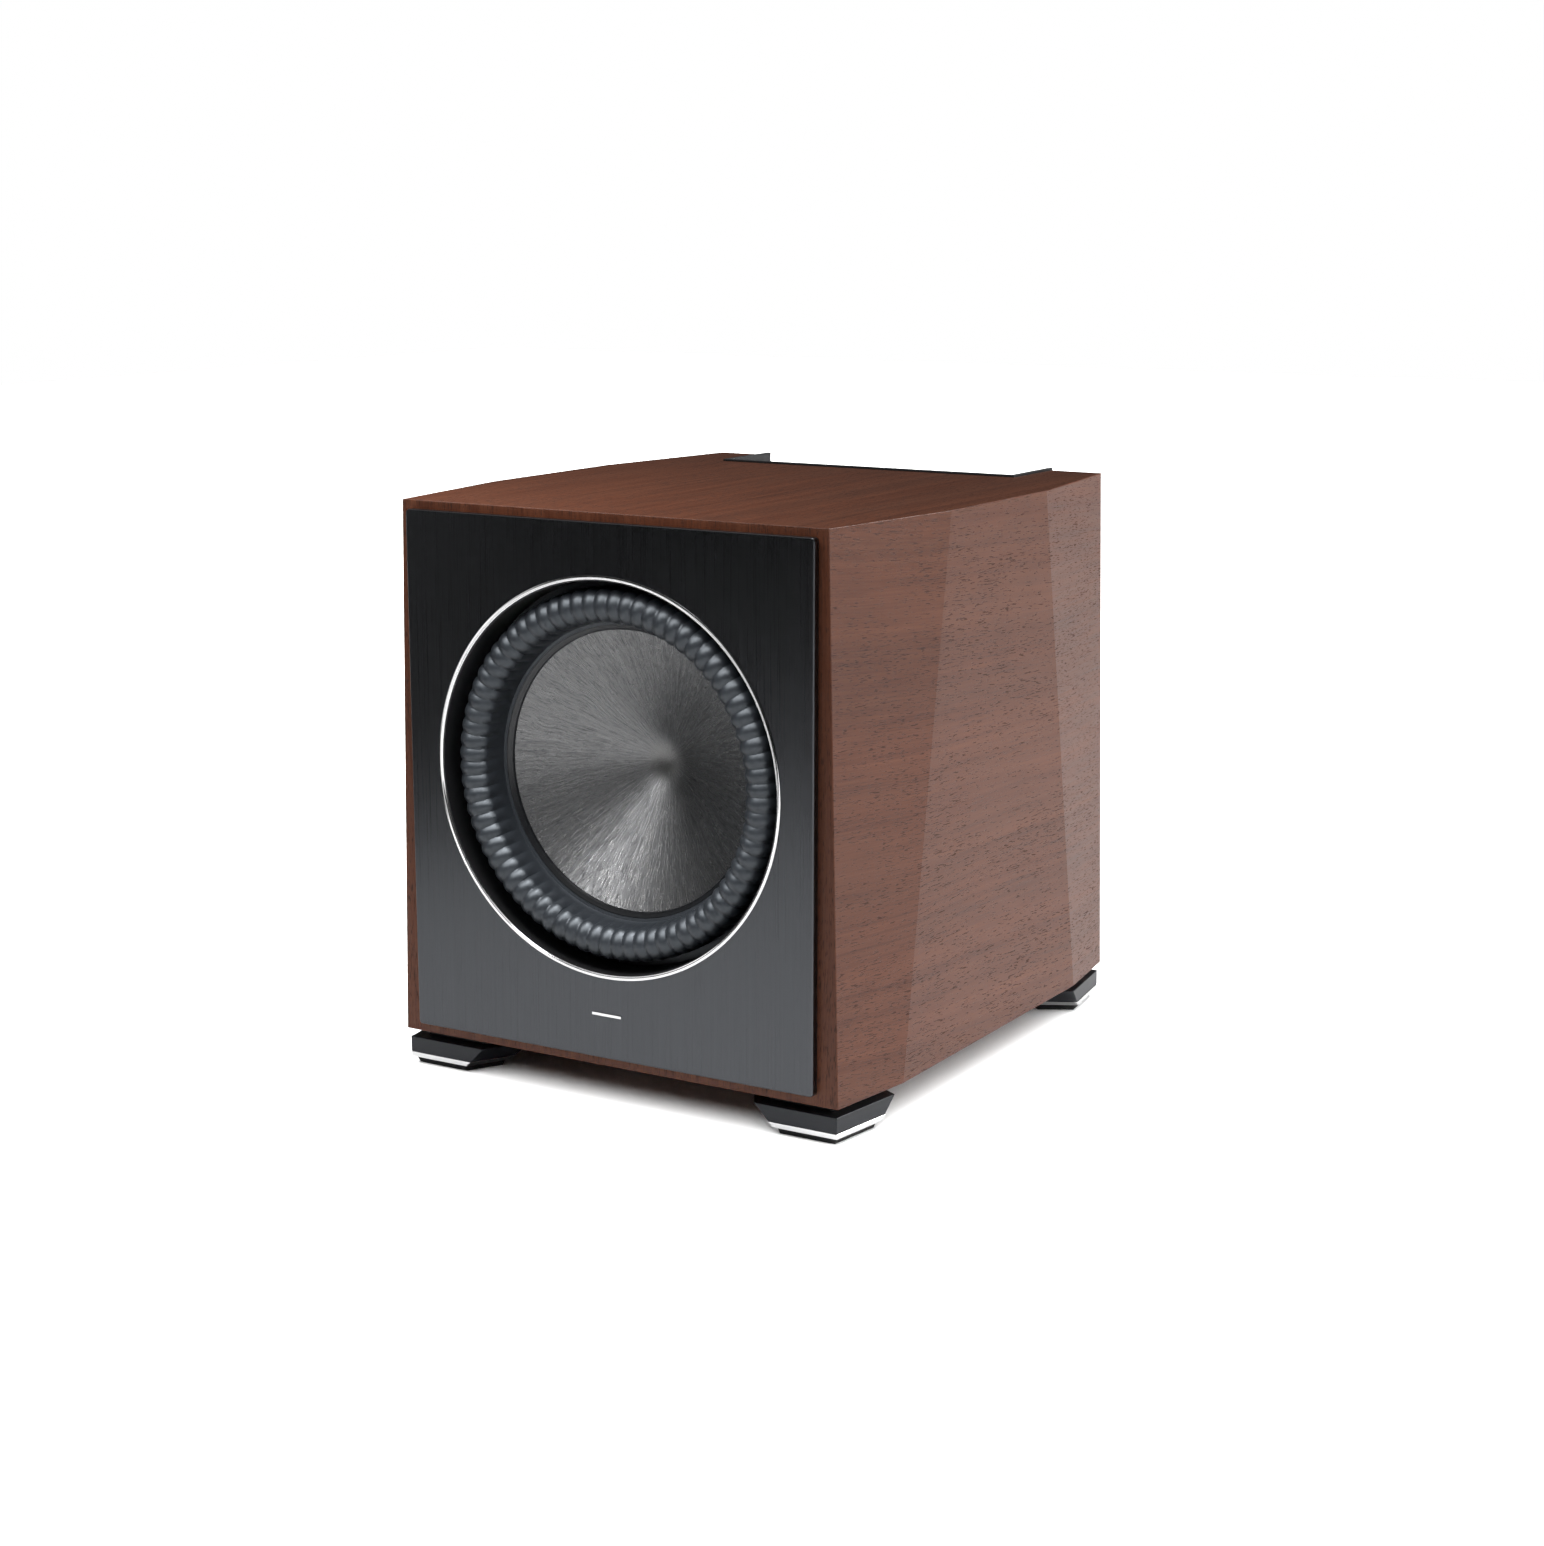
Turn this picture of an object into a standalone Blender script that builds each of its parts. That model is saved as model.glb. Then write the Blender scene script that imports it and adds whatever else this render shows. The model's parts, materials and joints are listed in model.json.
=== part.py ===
"""Powered subwoofer: a faceted wooden cabinet, a large front driver and a rear amplifier bay.

World frame: metres, +Z up, the driver faces -Y, +X is to its right as seen from the front.
The origin is on the floor, under the middle of the object's box.

Most pieces hang from the cabinet frame, an empty at the middle of the front panel's lower edge,
where x is across, y is the depth behind the wooden front and z is the height above the wooden base.
The driver and the rear controls are turned shapes, so each hangs from an empty whose +Z points back.
"""

import math

import bmesh
import bpy

# Clearance between touching pieces.
GAP = 0.0003

# Cabinet: the front and the back lean in towards the top, the widest band between them is upright.
CABINET_HEIGHT = 0.450
CABINET_DEPTH = 0.490
FRONT_HALF_WIDTH = (0.210, 0.200)
BACK_HALF_WIDTH = (0.210, 0.199)
MIDDLE_HALF_WIDTH = 0.222
FACET_SLOPE = 0.142
PANEL = 0.022
FRONT_PANEL = 0.045
SIDE_INNER_FACE = 0.184
BRACE_DEPTH = (0.236, 0.254)
BRACE_WINDOW_RADIUS = 0.140
BRACE_WINDOW_HEIGHT = 0.225

# Baffle plate and the ring around its opening.
PLATE_HALF_WIDTH = 0.1915
PLATE_HEIGHTS = (0.009, 0.443)
PLATE_THICKNESS = 0.007
PLATE_CORNER = 0.003
PLATE_OPENING = 0.1602
RING_OUTER = 0.1628
RING_INNER = 0.1584
RING_PROUD = 0.0079

# Driver, in radii and depths behind the wooden front.
DRIVER_HEIGHT = 0.239
REBATE_RADIUS = 0.175
REBATE_DEPTH = 0.0333
DRIVER_HOLE = 0.1515
FLANGE_RADIUS = 0.174
FLANGE_INNER = 0.142
FLANGE_DEPTHS = (0.027, 0.033)
SPOKES = 6
SPOKE_HALF_WIDTH = 0.008
SPOKE_SECTION = ((0.1498, 0.0305), (0.1436, 0.0298), (0.0852, 0.1102), (0.0888, 0.1185))
ROLL_RADIUS = 0.139
ROLL_HALF_WIDTH = 0.0142
ROLL_RISE = 0.0287
ROLL_BASE = 0.0247
ROLL_SKIN = 0.0018
CONE_RADIUS = 0.118
CONE_EDGE_DEPTH = 0.0308
CONE_CAP_RADIUS = 0.026
CONE_SLOPE = 0.511
CONE_SKIN = 0.0023
FORMER_RADIUS = 0.038
FORMER_WALL = 0.0008
COIL_RADIUS = 0.041
SPIDER_RADIUS = 0.088
SPIDER_DEPTH = 0.102
MAGNET_RADIUS = 0.088

# Feet: four layers under each corner, from the cabinet down to the floor.
FOOT_HEIGHT = 0.031
FOOT_LEVELS = {
    "spacer": (0.0, 0.007),
    "body": (0.007, 0.0205),
    "plate": (0.0205, 0.025),
    "pad": (0.025, 0.031),
}
FOOT_SET_BACK = 0.002
FOOT_ARM = 0.0757
FOOT_REACH = 0.045
FOOT_SPLAY = math.radians(29)
UNDERCUT_SLOPE = 0.87
SPACER_INSET = 0.012
PAD_INSET = 0.0035
PAD_TAPER = 0.002

# Rear amplifier bay, let into the back and open at the top.
BAY_HALF_WIDTH = 0.150
BAY_DEPTH = 0.0767
BAY_WALL = 0.004
BAY_FLOOR = 0.060
BAY_RIM = 0.002
REAR_FLANGE = 0.003
AMP_PANEL = 0.003
AMP_PANEL_FACE = CABINET_DEPTH - BAY_DEPTH + BAY_WALL + GAP + AMP_PANEL
BOARD_BACK = 0.3816
CONTROL_ROW = 0.205
JACK_ROW = 0.155
KNOB_PLACES = {"level": -0.095, "crossover": -0.045, "phase": 0.005}
TOGGLE_X = 0.060
JACK_PLACES = {"line_in_jack_left": -0.100, "line_in_jack_right": -0.075, "trigger_jack": -0.040}
INLET_X = 0.060
INLET_HEIGHT = 0.125
ROCKER_X = 0.105
ROCKER_HEIGHT = 0.125

# The box of the whole object is centred on the origin.
FRONT_Y = (RING_PROUD - CABINET_DEPTH - GAP - REAR_FLANGE) / 2


# ---------------------------------------------------------------- helpers


def clear_scene():
    for old in list(bpy.data.objects):
        bpy.data.objects.remove(old, do_unlink=True)


def material(name, colour, roughness, metallic=0.0):
    made = bpy.data.materials.new(name)
    made.use_nodes = True
    shader = made.node_tree.nodes["Principled BSDF"]
    shader.inputs["Base Color"].default_value = (*colour, 1.0)
    shader.inputs["Roughness"].default_value = roughness
    shader.inputs["Metallic"].default_value = metallic
    made.diffuse_color = (*colour, 1.0)
    return made


def empty(name, parent=None, location=(0, 0, 0), facing_back=False):
    made = bpy.data.objects.new(name, None)
    bpy.context.scene.collection.objects.link(made)
    made.parent = parent
    made.location = location
    if facing_back:
        made.rotation_euler = (-math.pi / 2, 0, 0)
    return made


def finish(name, shape, finish_material, parent, smooth=False, cutter=False):
    """Turns a bmesh into a named object whose faces point out."""
    bmesh.ops.recalc_face_normals(shape, faces=shape.faces)
    mesh = bpy.data.meshes.new(name)
    shape.to_mesh(mesh)
    shape.free()
    if smooth:
        mesh.shade_smooth()
        mesh.set_sharp_from_angle(angle=math.radians(40))
    made = bpy.data.objects.new(name, mesh)
    bpy.context.scene.collection.objects.link(made)
    made.parent = parent
    if cutter:
        made.hide_render = True
        made.display_type = "WIRE"
    else:
        mesh.materials.append(finish_material)
    return made


def loft(name, lower, upper, finish_material, parent, cutter=False):
    """A solid between two outlines of 3D points that have the same number of points."""
    shape = bmesh.new()
    low = [shape.verts.new(point) for point in lower]
    high = [shape.verts.new(point) for point in upper]
    shape.faces.new(low)
    shape.faces.new(high)
    for i in range(len(low)):
        j = (i + 1) % len(low)
        shape.faces.new((low[i], low[j], high[j], high[i]))
    return finish(name, shape, finish_material, parent, cutter=cutter)


def box(name, low, high, finish_material, parent, cutter=False):
    (x0, y0, z0), (x1, y1, z1) = low, high
    outline = ((x0, y0), (x1, y0), (x1, y1), (x0, y1))
    lower = [(x, y, z0) for x, y in outline]
    upper = [(x, y, z1) for x, y in outline]
    return loft(name, lower, upper, finish_material, parent, cutter=cutter)


def turned(name, profile, finish_material, parent, segments=32, cutter=False):
    """Spins a closed profile of (radius, depth) points around its parent's Z axis."""
    shape = bmesh.new()
    points = [shape.verts.new((radius, 0, depth)) for radius, depth in profile]
    edges = []
    for i in range(len(points)):
        j = (i + 1) % len(points)
        on_axis = profile[i][0] == 0 and profile[j][0] == 0
        if not on_axis:
            edges.append(shape.edges.new((points[i], points[j])))
    bmesh.ops.spin(
        shape, geom=points + edges, cent=(0, 0, 0), axis=(0, 0, 1), angle=2 * math.pi, steps=segments, use_merge=True
    )
    bmesh.ops.remove_doubles(shape, verts=shape.verts, dist=1e-7)
    bmesh.ops.dissolve_degenerate(shape, edges=shape.edges, dist=1e-8)
    return finish(name, shape, finish_material, parent, smooth=True, cutter=cutter)


def rod(radius, start, end):
    """The profile of a plain round bar."""
    return [(0, start), (radius, start), (radius, end), (0, end)]


def tube(inner, outer, start, end):
    """The profile of a plain tube or washer."""
    return [(inner, start), (outer, start), (outer, end), (inner, end)]


def boolean(target, other, operation):
    step = target.modifiers.new(operation.lower() + "_" + other.name, "BOOLEAN")
    step.operation = operation
    step.solver = "EXACT"
    step.object = other


def cut(target, *cutters):
    for cutter in cutters:
        boolean(target, cutter, "DIFFERENCE")


def add(target, *others):
    for other in others:
        boolean(target, other, "UNION")


def blend(pair, share):
    return pair[0] + (pair[1] - pair[0]) * share


def mirrored(points):
    """The left-hand copy of a right-hand outline, in the order that continues round the shape."""
    return [(-x, y) for x, y in reversed(points)]


def at_height(points, height):
    return [(x, y, height) for x, y in points]


# ---------------------------------------------------------------- cabinet


def side_outline(height):
    """The right-hand side of the cabinet in plan at one height, from the front edge to the back edge."""
    share = height / CABINET_HEIGHT
    front = blend(FRONT_HALF_WIDTH, share)
    back = blend(BACK_HALF_WIDTH, share)
    front_crease = (MIDDLE_HALF_WIDTH - front) / FACET_SLOPE
    back_crease = CABINET_DEPTH - (MIDDLE_HALF_WIDTH - back) / FACET_SLOPE
    return [
        (front, 0),
        (MIDDLE_HALF_WIDTH, front_crease),
        (MIDDLE_HALF_WIDTH, back_crease),
        (back, CABINET_DEPTH),
    ]


def side_panel(name, side, walnut, cabinet):
    def outline(height):
        inner = [(SIDE_INNER_FACE, CABINET_DEPTH), (SIDE_INNER_FACE, 0)]
        return [(side * x, y, height) for x, y in side_outline(height) + inner]

    low = PANEL + GAP
    high = CABINET_HEIGHT - PANEL - GAP
    loft(name, outline(low), outline(high), walnut, cabinet)


def cabinet_panels(walnut, board, cabinet):
    side_panel("right_side_panel", 1, walnut, cabinet)
    side_panel("left_side_panel", -1, walnut, cabinet)

    def whole_plan(height):
        right = side_outline(height)
        return at_height(right + mirrored(right), height)

    loft("bottom_panel", whole_plan(0), whole_plan(PANEL), walnut, cabinet)

    notch_x = BAY_HALF_WIDTH + GAP
    notch_y = CABINET_DEPTH - BAY_DEPTH - GAP
    notch = [(notch_x, CABINET_DEPTH), (notch_x, notch_y)]

    def notched_plan(height):
        right = side_outline(height)
        return at_height(right + notch + mirrored(notch) + mirrored(right), height)

    loft("top_panel", notched_plan(CABINET_HEIGHT - PANEL), notched_plan(CABINET_HEIGHT), walnut, cabinet)

    inner_x = SIDE_INNER_FACE - GAP
    low = PANEL + GAP
    high = CABINET_HEIGHT - PANEL - GAP
    front = box("front_panel", (-inner_x, 0, low), (inner_x, FRONT_PANEL, high), board, cabinet)
    axis = empty("driver_hole_axis", cabinet, (0, 0, DRIVER_HEIGHT), facing_back=True)
    hole = [
        (0, -0.01),
        (REBATE_RADIUS, -0.01),
        (REBATE_RADIUS, REBATE_DEPTH),
        (DRIVER_HOLE, REBATE_DEPTH),
        (DRIVER_HOLE, FRONT_PANEL + 0.01),
        (0, FRONT_PANEL + 0.01),
    ]
    cut(front, turned("driver_hole_cutter", hole, None, axis, 64, cutter=True))

    brace = box("window_brace", (-inner_x, BRACE_DEPTH[0], low), (inner_x, BRACE_DEPTH[1], high), board, cabinet)
    window_axis = empty("brace_window_axis", cabinet, (0, 0, BRACE_WINDOW_HEIGHT), facing_back=True)
    window = rod(BRACE_WINDOW_RADIUS, BRACE_DEPTH[0] - 0.01, BRACE_DEPTH[1] + 0.01)
    cut(brace, turned("brace_window_cutter", window, None, window_axis, 40, cutter=True))

    bay_low = BAY_FLOOR - GAP
    back_outline = [
        (inner_x, low),
        (inner_x, high),
        (notch_x, high),
        (notch_x, bay_low),
        (-notch_x, bay_low),
        (-notch_x, high),
        (-inner_x, high),
        (-inner_x, low),
    ]
    inside = [(x, CABINET_DEPTH - PANEL, z) for x, z in back_outline]
    outside = [(x, CABINET_DEPTH, z) for x, z in back_outline]
    loft("back_panel", inside, outside, walnut, cabinet)


def baffle(brushed, chrome, cabinet, driver):
    low, high = PLATE_HEIGHTS
    corners = [
        (PLATE_HALF_WIDTH - PLATE_CORNER, low + PLATE_CORNER, 270),
        (PLATE_HALF_WIDTH - PLATE_CORNER, high - PLATE_CORNER, 0),
        (-PLATE_HALF_WIDTH + PLATE_CORNER, high - PLATE_CORNER, 90),
        (-PLATE_HALF_WIDTH + PLATE_CORNER, low + PLATE_CORNER, 180),
    ]
    outline = []
    for x, z, start in corners:
        for step in range(4):
            turn = math.radians(start + step * 30)
            outline.append((x + PLATE_CORNER * math.cos(turn), z + PLATE_CORNER * math.sin(turn)))
    front = [(x, -PLATE_THICKNESS, z) for x, z in outline]
    back = [(x, -GAP, z) for x, z in outline]
    plate = loft("baffle_plate", front, back, brushed, cabinet)
    opening = rod(PLATE_OPENING, -0.02, 0.01)
    cut(plate, turned("plate_opening_cutter", opening, None, driver, 96, cutter=True))

    skirt = PLATE_OPENING - GAP
    flange = -PLATE_THICKNESS - GAP
    ring = [
        (RING_INNER, -0.0006),
        (skirt, -0.0006),
        (skirt, flange),
        (RING_OUTER, flange),
        (RING_OUTER, -RING_PROUD),
        (RING_INNER, -RING_PROUD),
    ]
    turned("trim_ring", ring, chrome, driver, 72)


# ---------------------------------------------------------------- driver


def basket_spoke(name, number, driver):
    """A slanted bar from the flange to the ring that carries the magnet, thicker along the depth."""
    turn = 2 * math.pi * number / SPOKES

    def placed(radius, across, depth):
        return (
            radius * math.cos(turn) - across * math.sin(turn),
            radius * math.sin(turn) + across * math.cos(turn),
            depth,
        )

    def ends(across):
        return [placed(radius, across, depth) for radius, depth in SPOKE_SECTION]

    return loft(name, ends(-SPOKE_HALF_WIDTH), ends(SPOKE_HALF_WIDTH), None, driver, cutter=True)


def basket(cast, plastic, driver):
    flange = tube(FLANGE_INNER, FLANGE_RADIUS, *FLANGE_DEPTHS)
    frame = turned("driver_basket", flange, cast, driver, 48)
    hub = [(0.055, 0.121), (0.082, 0.121), (0.082, 0.103), (0.090, 0.103), (0.090, 0.1287), (0.055, 0.1287)]
    add(frame, turned("basket_hub", hub, None, driver, 48, cutter=True))
    for number in range(SPOKES):
        add(frame, basket_spoke(f"basket_spoke_{number + 1}", number, driver))
    box("driver_terminal_block", (-0.014, 0.0906, 0.108), (0.014, 0.103, 0.120), plastic, driver)


def surround_profile():
    def roll(skin):
        points = []
        for step in range(8):
            turn = math.pi * step / 7
            radius = ROLL_RADIUS + (ROLL_HALF_WIDTH - skin) * math.cos(turn)
            points.append((radius, ROLL_BASE + skin - ROLL_RISE * math.sin(turn)))
        return points

    front = [(0.158, ROLL_BASE), *roll(0), (0.1199, ROLL_BASE + 0.002)]
    back = [(0.1199, ROLL_BASE + 0.002 + ROLL_SKIN), *reversed(roll(ROLL_SKIN)), (0.158, ROLL_BASE + ROLL_SKIN)]
    return front + back


def cone_front(radius):
    return CONE_EDGE_DEPTH + (CONE_RADIUS - radius) * CONE_SLOPE


def cone_assembly(paper, dark, copper, moving):
    cap_edge = cone_front(CONE_CAP_RADIUS)
    front = [
        (CONE_RADIUS, CONE_EDGE_DEPTH),
        (CONE_CAP_RADIUS, cap_edge),
        (CONE_CAP_RADIUS / 2, cap_edge + 0.0047),
        (0, cap_edge + 0.0062),
    ]
    back = [(radius, depth + CONE_SKIN) for radius, depth in reversed(front)]
    turned("cone", front + back, paper, moving, 48)

    edge_ring = [(0.1196, 0.0273), (0.1196, 0.0290), (0.1152, 0.0318), (0.1152, 0.0302)]
    turned("cone_edge_ring", edge_ring, dark, moving, 48)
    turned("coil_former", tube(FORMER_RADIUS - FORMER_WALL, FORMER_RADIUS, 0.0750, 0.150), dark, moving)
    turned("voice_coil", tube(FORMER_RADIUS + GAP, COIL_RADIUS, 0.118, 0.148), copper, moving)


def surround(rubber, driver):
    """A rubber half roll, clamped at its outer edge and glued to the cone at its inner edge."""
    turned("surround", surround_profile(), rubber, driver, 48)


def spider(cloth, driver):
    """A corrugated disc, flat where it is glued to the former and to the basket."""
    waves = 4
    inner, outer = 0.0415, 0.0795
    swing = 0.003
    line = [(FORMER_RADIUS + GAP, SPIDER_DEPTH), (inner, SPIDER_DEPTH)]
    for step in range(1, 2 * waves):
        side = 1 if step % 2 else -1
        line.append((inner + (outer - inner) * step / (2 * waves), SPIDER_DEPTH + side * swing))
    line += [(outer, SPIDER_DEPTH), (SPIDER_RADIUS, SPIDER_DEPTH)]
    skin = 0.0006
    profile = [(radius, depth - skin) for radius, depth in line]
    profile += [(radius, depth + skin) for radius, depth in reversed(line)]
    turned("spider", profile, cloth, driver, 40)


def motor(steel, ferrite, rubber, driver):
    turned("top_plate", tube(0.0422, 0.086, 0.129, 0.138), steel, driver)
    turned("magnet", tube(0.048, MAGNET_RADIUS, 0.1383, 0.1683), ferrite, driver)
    vent = 0.012
    pole = [(vent, 0.127), (0.0364, 0.127), (0.0364, 0.1686), (0.086, 0.1686), (0.086, 0.1786), (vent, 0.1786)]
    turned("pole_yoke", pole, steel, driver)
    inside = MAGNET_RADIUS + GAP
    boot = [
        (inside, 0.1390),
        (inside + 0.0025, 0.1390),
        (inside + 0.0025, 0.1815),
        (0.050, 0.1815),
        (0.050, 0.1789),
        (inside, 0.1789),
    ]
    turned("magnet_cover", boot, rubber, driver)


def speaker_lead(name, side, insulation, cabinet):
    """A round wire from the driver's terminals, through the brace's window, to the amplifier board."""
    half_gap = 0.008
    route = [
        (side * half_gap, 0.1208, 0.1415),
        (side * half_gap, 0.1450, 0.1400),
        (side * 0.009, 0.1800, 0.1280),
        (side * 0.012, 0.2200, 0.1140),
        (side * 0.014, 0.2600, 0.1150),
        (side * 0.016, 0.3000, 0.1400),
        (side * 0.018, 0.3300, 0.1850),
        (side * 0.020, 0.3550, 0.2280),
        (side * 0.020, 0.3782, 0.2380),
    ]
    points = smooth_points(route, 3)
    curve = bpy.data.curves.new(name, "CURVE")
    curve.dimensions = "3D"
    curve.bevel_depth = 0.002
    curve.bevel_resolution = 1
    curve.use_fill_caps = True
    line = curve.splines.new("POLY")
    line.points.add(len(points) - 1)
    for target, point in zip(line.points, points):
        target.co = (*point, 1.0)
    made = bpy.data.objects.new(name, curve)
    bpy.context.scene.collection.objects.link(made)
    made.parent = cabinet
    curve.materials.append(insulation)


def smooth_points(route, steps):
    """Catmull-Rom curve through the route's points."""
    ends = [route[0], *route, route[-1]]
    points = []
    for i in range(len(route) - 1):
        before, start, end, after = ends[i : i + 4]
        for step in range(steps):
            t = step / steps
            point = []
            for a, b, c, d in zip(before, start, end, after):
                bend = (2 * a - 5 * b + 4 * c - d) * t**2 + (3 * b - a - 3 * c + d) * t**3
                point.append(b + 0.5 * ((c - a) * t + bend))
            points.append(tuple(point))
    points.append(route[-1])
    return points


# ---------------------------------------------------------------- feet


def crossing(first, second):
    """Where two lines meet, each given as a point and a direction in plan."""
    (x1, y1), (u1, v1) = first
    (x2, y2), (u2, v2) = second
    share = ((x2 - x1) * v2 - (y2 - y1) * u2) / (u1 * v2 - v1 * u2)
    return (x1 + u1 * share, y1 + v1 * share)


def foot_outline(inset, undercut):
    """A foot in plan, with its outer corner at the origin, one arm along +X and the other along the side facet.

    The two outer edges move in by the inset and the three inner edges by the undercut.
    """
    lean = math.atan(FACET_SLOPE)
    arm_end = (FOOT_ARM, 0)
    inner_end = (arm_end[0] + FOOT_REACH * math.sin(FOOT_SPLAY), FOOT_REACH * math.cos(FOOT_SPLAY))
    side_end = (-FOOT_ARM * math.sin(lean), FOOT_ARM * math.cos(lean))
    side_inner = (side_end[0] + FOOT_REACH * math.cos(FOOT_SPLAY), side_end[1] + FOOT_REACH * math.sin(FOOT_SPLAY))
    corners = [(0, 0), arm_end, inner_end, side_inner, side_end]
    moves = [inset, undercut, undercut, undercut, inset]
    edges = []
    for i, move in enumerate(moves):
        (x0, y0), (x1, y1) = corners[i], corners[(i + 1) % len(corners)]
        length = math.hypot(x1 - x0, y1 - y0)
        across = ((x1 - x0) / length, (y1 - y0) / length)
        edges.append(((x0 - across[1] * move, y0 + across[0] * move), across))
    return [crossing(edges[i - 1], edges[i]) for i in range(len(edges))]


def foot(name, side, at_back, finishes, cabinet):
    corner_x = FRONT_HALF_WIDTH[0] - FOOT_SET_BACK

    def placed(points, height):
        out = []
        for along, across in points:
            x = side * (corner_x - along)
            y = FOOT_SET_BACK + across
            out.append((x, CABINET_DEPTH - y if at_back else y, -height))
        return out

    def layer(part, upper, lower):
        start, end = FOOT_LEVELS[part]
        low_plan = placed(foot_outline(*lower), end)
        high_plan = placed(foot_outline(*upper), start + GAP)
        loft(f"foot_{part}_{name}", low_plan, high_plan, finishes[part], cabinet)

    body_start, body_end = FOOT_LEVELS["body"]
    plate_end = FOOT_LEVELS["plate"][1]
    at_body_end = (body_end - body_start) * UNDERCUT_SLOPE
    at_plate_end = (plate_end - body_start) * UNDERCUT_SLOPE
    pad_foot = PAD_INSET + PAD_TAPER
    layer("spacer", (SPACER_INSET, SPACER_INSET), (SPACER_INSET, SPACER_INSET))
    layer("body", (0, 0), (0, at_body_end))
    layer("plate", (0, at_body_end), (0, at_plate_end))
    layer("pad", (PAD_INSET, at_plate_end + PAD_INSET), (pad_foot, at_plate_end + pad_foot))


# ---------------------------------------------------------------- rear amplifier


def bay_and_panel(plastic, alloy, board_green, cabinet):
    front = CABINET_DEPTH - BAY_DEPTH
    back = CABINET_DEPTH + GAP + REAR_FLANGE
    rim = CABINET_HEIGHT + BAY_RIM
    housing = box("amp_housing", (-BAY_HALF_WIDTH, front, BAY_FLOOR), (BAY_HALF_WIDTH, back, rim), plastic, cabinet)
    flange = box(
        "rear_flange",
        (-BAY_HALF_WIDTH - 0.012, CABINET_DEPTH + GAP, BAY_FLOOR - 0.012),
        (BAY_HALF_WIDTH + 0.012, back, CABINET_HEIGHT - 0.001),
        None,
        cabinet,
        cutter=True,
    )
    add(housing, flange)
    for side in (-1, 1):
        for height in (0.085, 0.405):
            place = empty(f"board_post_axis_{side}_{height}", cabinet, (side * 0.110, 0, height), facing_back=True)
            bar = rod(0.005, BOARD_BACK + GAP, front + 0.002)
            add(housing, turned(f"board_post_{side}_{height}", bar, None, place, 12, cutter=True))
    inner_x = BAY_HALF_WIDTH - BAY_WALL
    cavity = box(
        "bay_cutter",
        (-inner_x, front + BAY_WALL, BAY_FLOOR + BAY_WALL),
        (inner_x, back + 0.01, rim + 0.01),
        None,
        cabinet,
        cutter=True,
    )
    window_low = (-0.128, front - 0.01, 0.094)
    window_high = (0.128, front + 0.01, 0.396)
    cut(housing, cavity, box("window_cutter", window_low, window_high, None, cabinet, cutter=True))

    panel_back = AMP_PANEL_FACE
    panel = box("amp_panel", (-0.140, panel_back - AMP_PANEL, 0.072), (0.140, panel_back, 0.430), alloy, cabinet)
    round_holes = [(x, CONTROL_ROW, 0.0036) for x in KNOB_PLACES.values()]
    round_holes += [(x, JACK_ROW, 0.0055) for x in JACK_PLACES.values()]
    round_holes.append((TOGGLE_X, CONTROL_ROW, 0.0045))
    for number, (x, height, radius) in enumerate(round_holes):
        place = empty(f"panel_hole_axis_{number + 1}", cabinet, (x, panel_back, height), facing_back=True)
        cut(panel, turned(f"panel_hole_{number + 1}", rod(radius, -0.02, 0.02), None, place, 16, cutter=True))
    for name, x, height, half_x, half_z in (
        ("inlet_hole", INLET_X, INLET_HEIGHT, 0.0143, 0.0243),
        ("rocker_hole", ROCKER_X, ROCKER_HEIGHT, 0.0093, 0.0143),
    ):
        low = (x - half_x, panel_back - 0.02, height - half_z)
        high = (x + half_x, panel_back + 0.02, height + half_z)
        cut(panel, box(name, low, high, None, cabinet, cutter=True))

    board_front = BOARD_BACK - 0.0016
    box("amp_board", (-0.120, board_front, 0.078), (0.120, BOARD_BACK, 0.412), board_green, cabinet)


def heat_sink(anodised, cabinet):
    """A finned extrusion with its fins upright, so that air rises out of the open top."""
    half = 0.124
    start = AMP_PANEL_FACE + GAP
    root = start + 0.006
    tip = start + 0.046
    fins = 18
    fin = 0.0028
    pitch = (2 * half - fin) / (fins - 1)
    outline = [(-half, start), (half, start)]
    for number in reversed(range(fins)):
        left = -half + number * pitch
        right = left + fin
        if number < fins - 1:
            outline.append((right, root))
        outline += [(right, tip), (left, tip)]
        if number > 0:
            outline.append((left, root))
    loft("heat_sink", at_height(outline, 0.252), at_height(outline, 0.424), anodised, cabinet)


def amp_parts(wound, sleeve, cabinet):
    stand = empty("transformer_axis", cabinet, (-0.100, 0.325, PANEL + GAP))
    torus = [
        (0.016, 0.003),
        (0.019, 0.0),
        (0.049, 0.0),
        (0.055, 0.006),
        (0.055, 0.044),
        (0.049, 0.050),
        (0.019, 0.050),
        (0.016, 0.047),
    ]
    turned("transformer", torus, wound, stand, 24)
    for name, x in (("capacitor_left", -0.060), ("capacitor_right", -0.018)):
        axis = empty(name + "_axis", cabinet, (x, 0.3797, 0.330), facing_back=True)
        turned(name, rod(0.0175, -0.045, 0), sleeve, axis, 24)


def control_knob(name, x, knob_plastic, pot_plastic, cabinet):
    """A knob on a plain shaft that turns in a potentiometer behind the panel."""
    axis = empty(name + "_knob_axis", cabinet, (x, AMP_PANEL_FACE, CONTROL_ROW), facing_back=True)
    cap = [
        (0, -0.012),
        (0.0030, -0.012),
        (0.0030, 0.0008),
        (0.0095, 0.0008),
        (0.0095, 0.0125),
        (0.0085, 0.0140),
        (0, 0.0140),
    ]
    turned(name + "_knob", cap, knob_plastic, axis, 24)
    turned(name + "_potentiometer", tube(0.0033, 0.0085, -0.013, -0.0033), pot_plastic, axis, 16)


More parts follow.
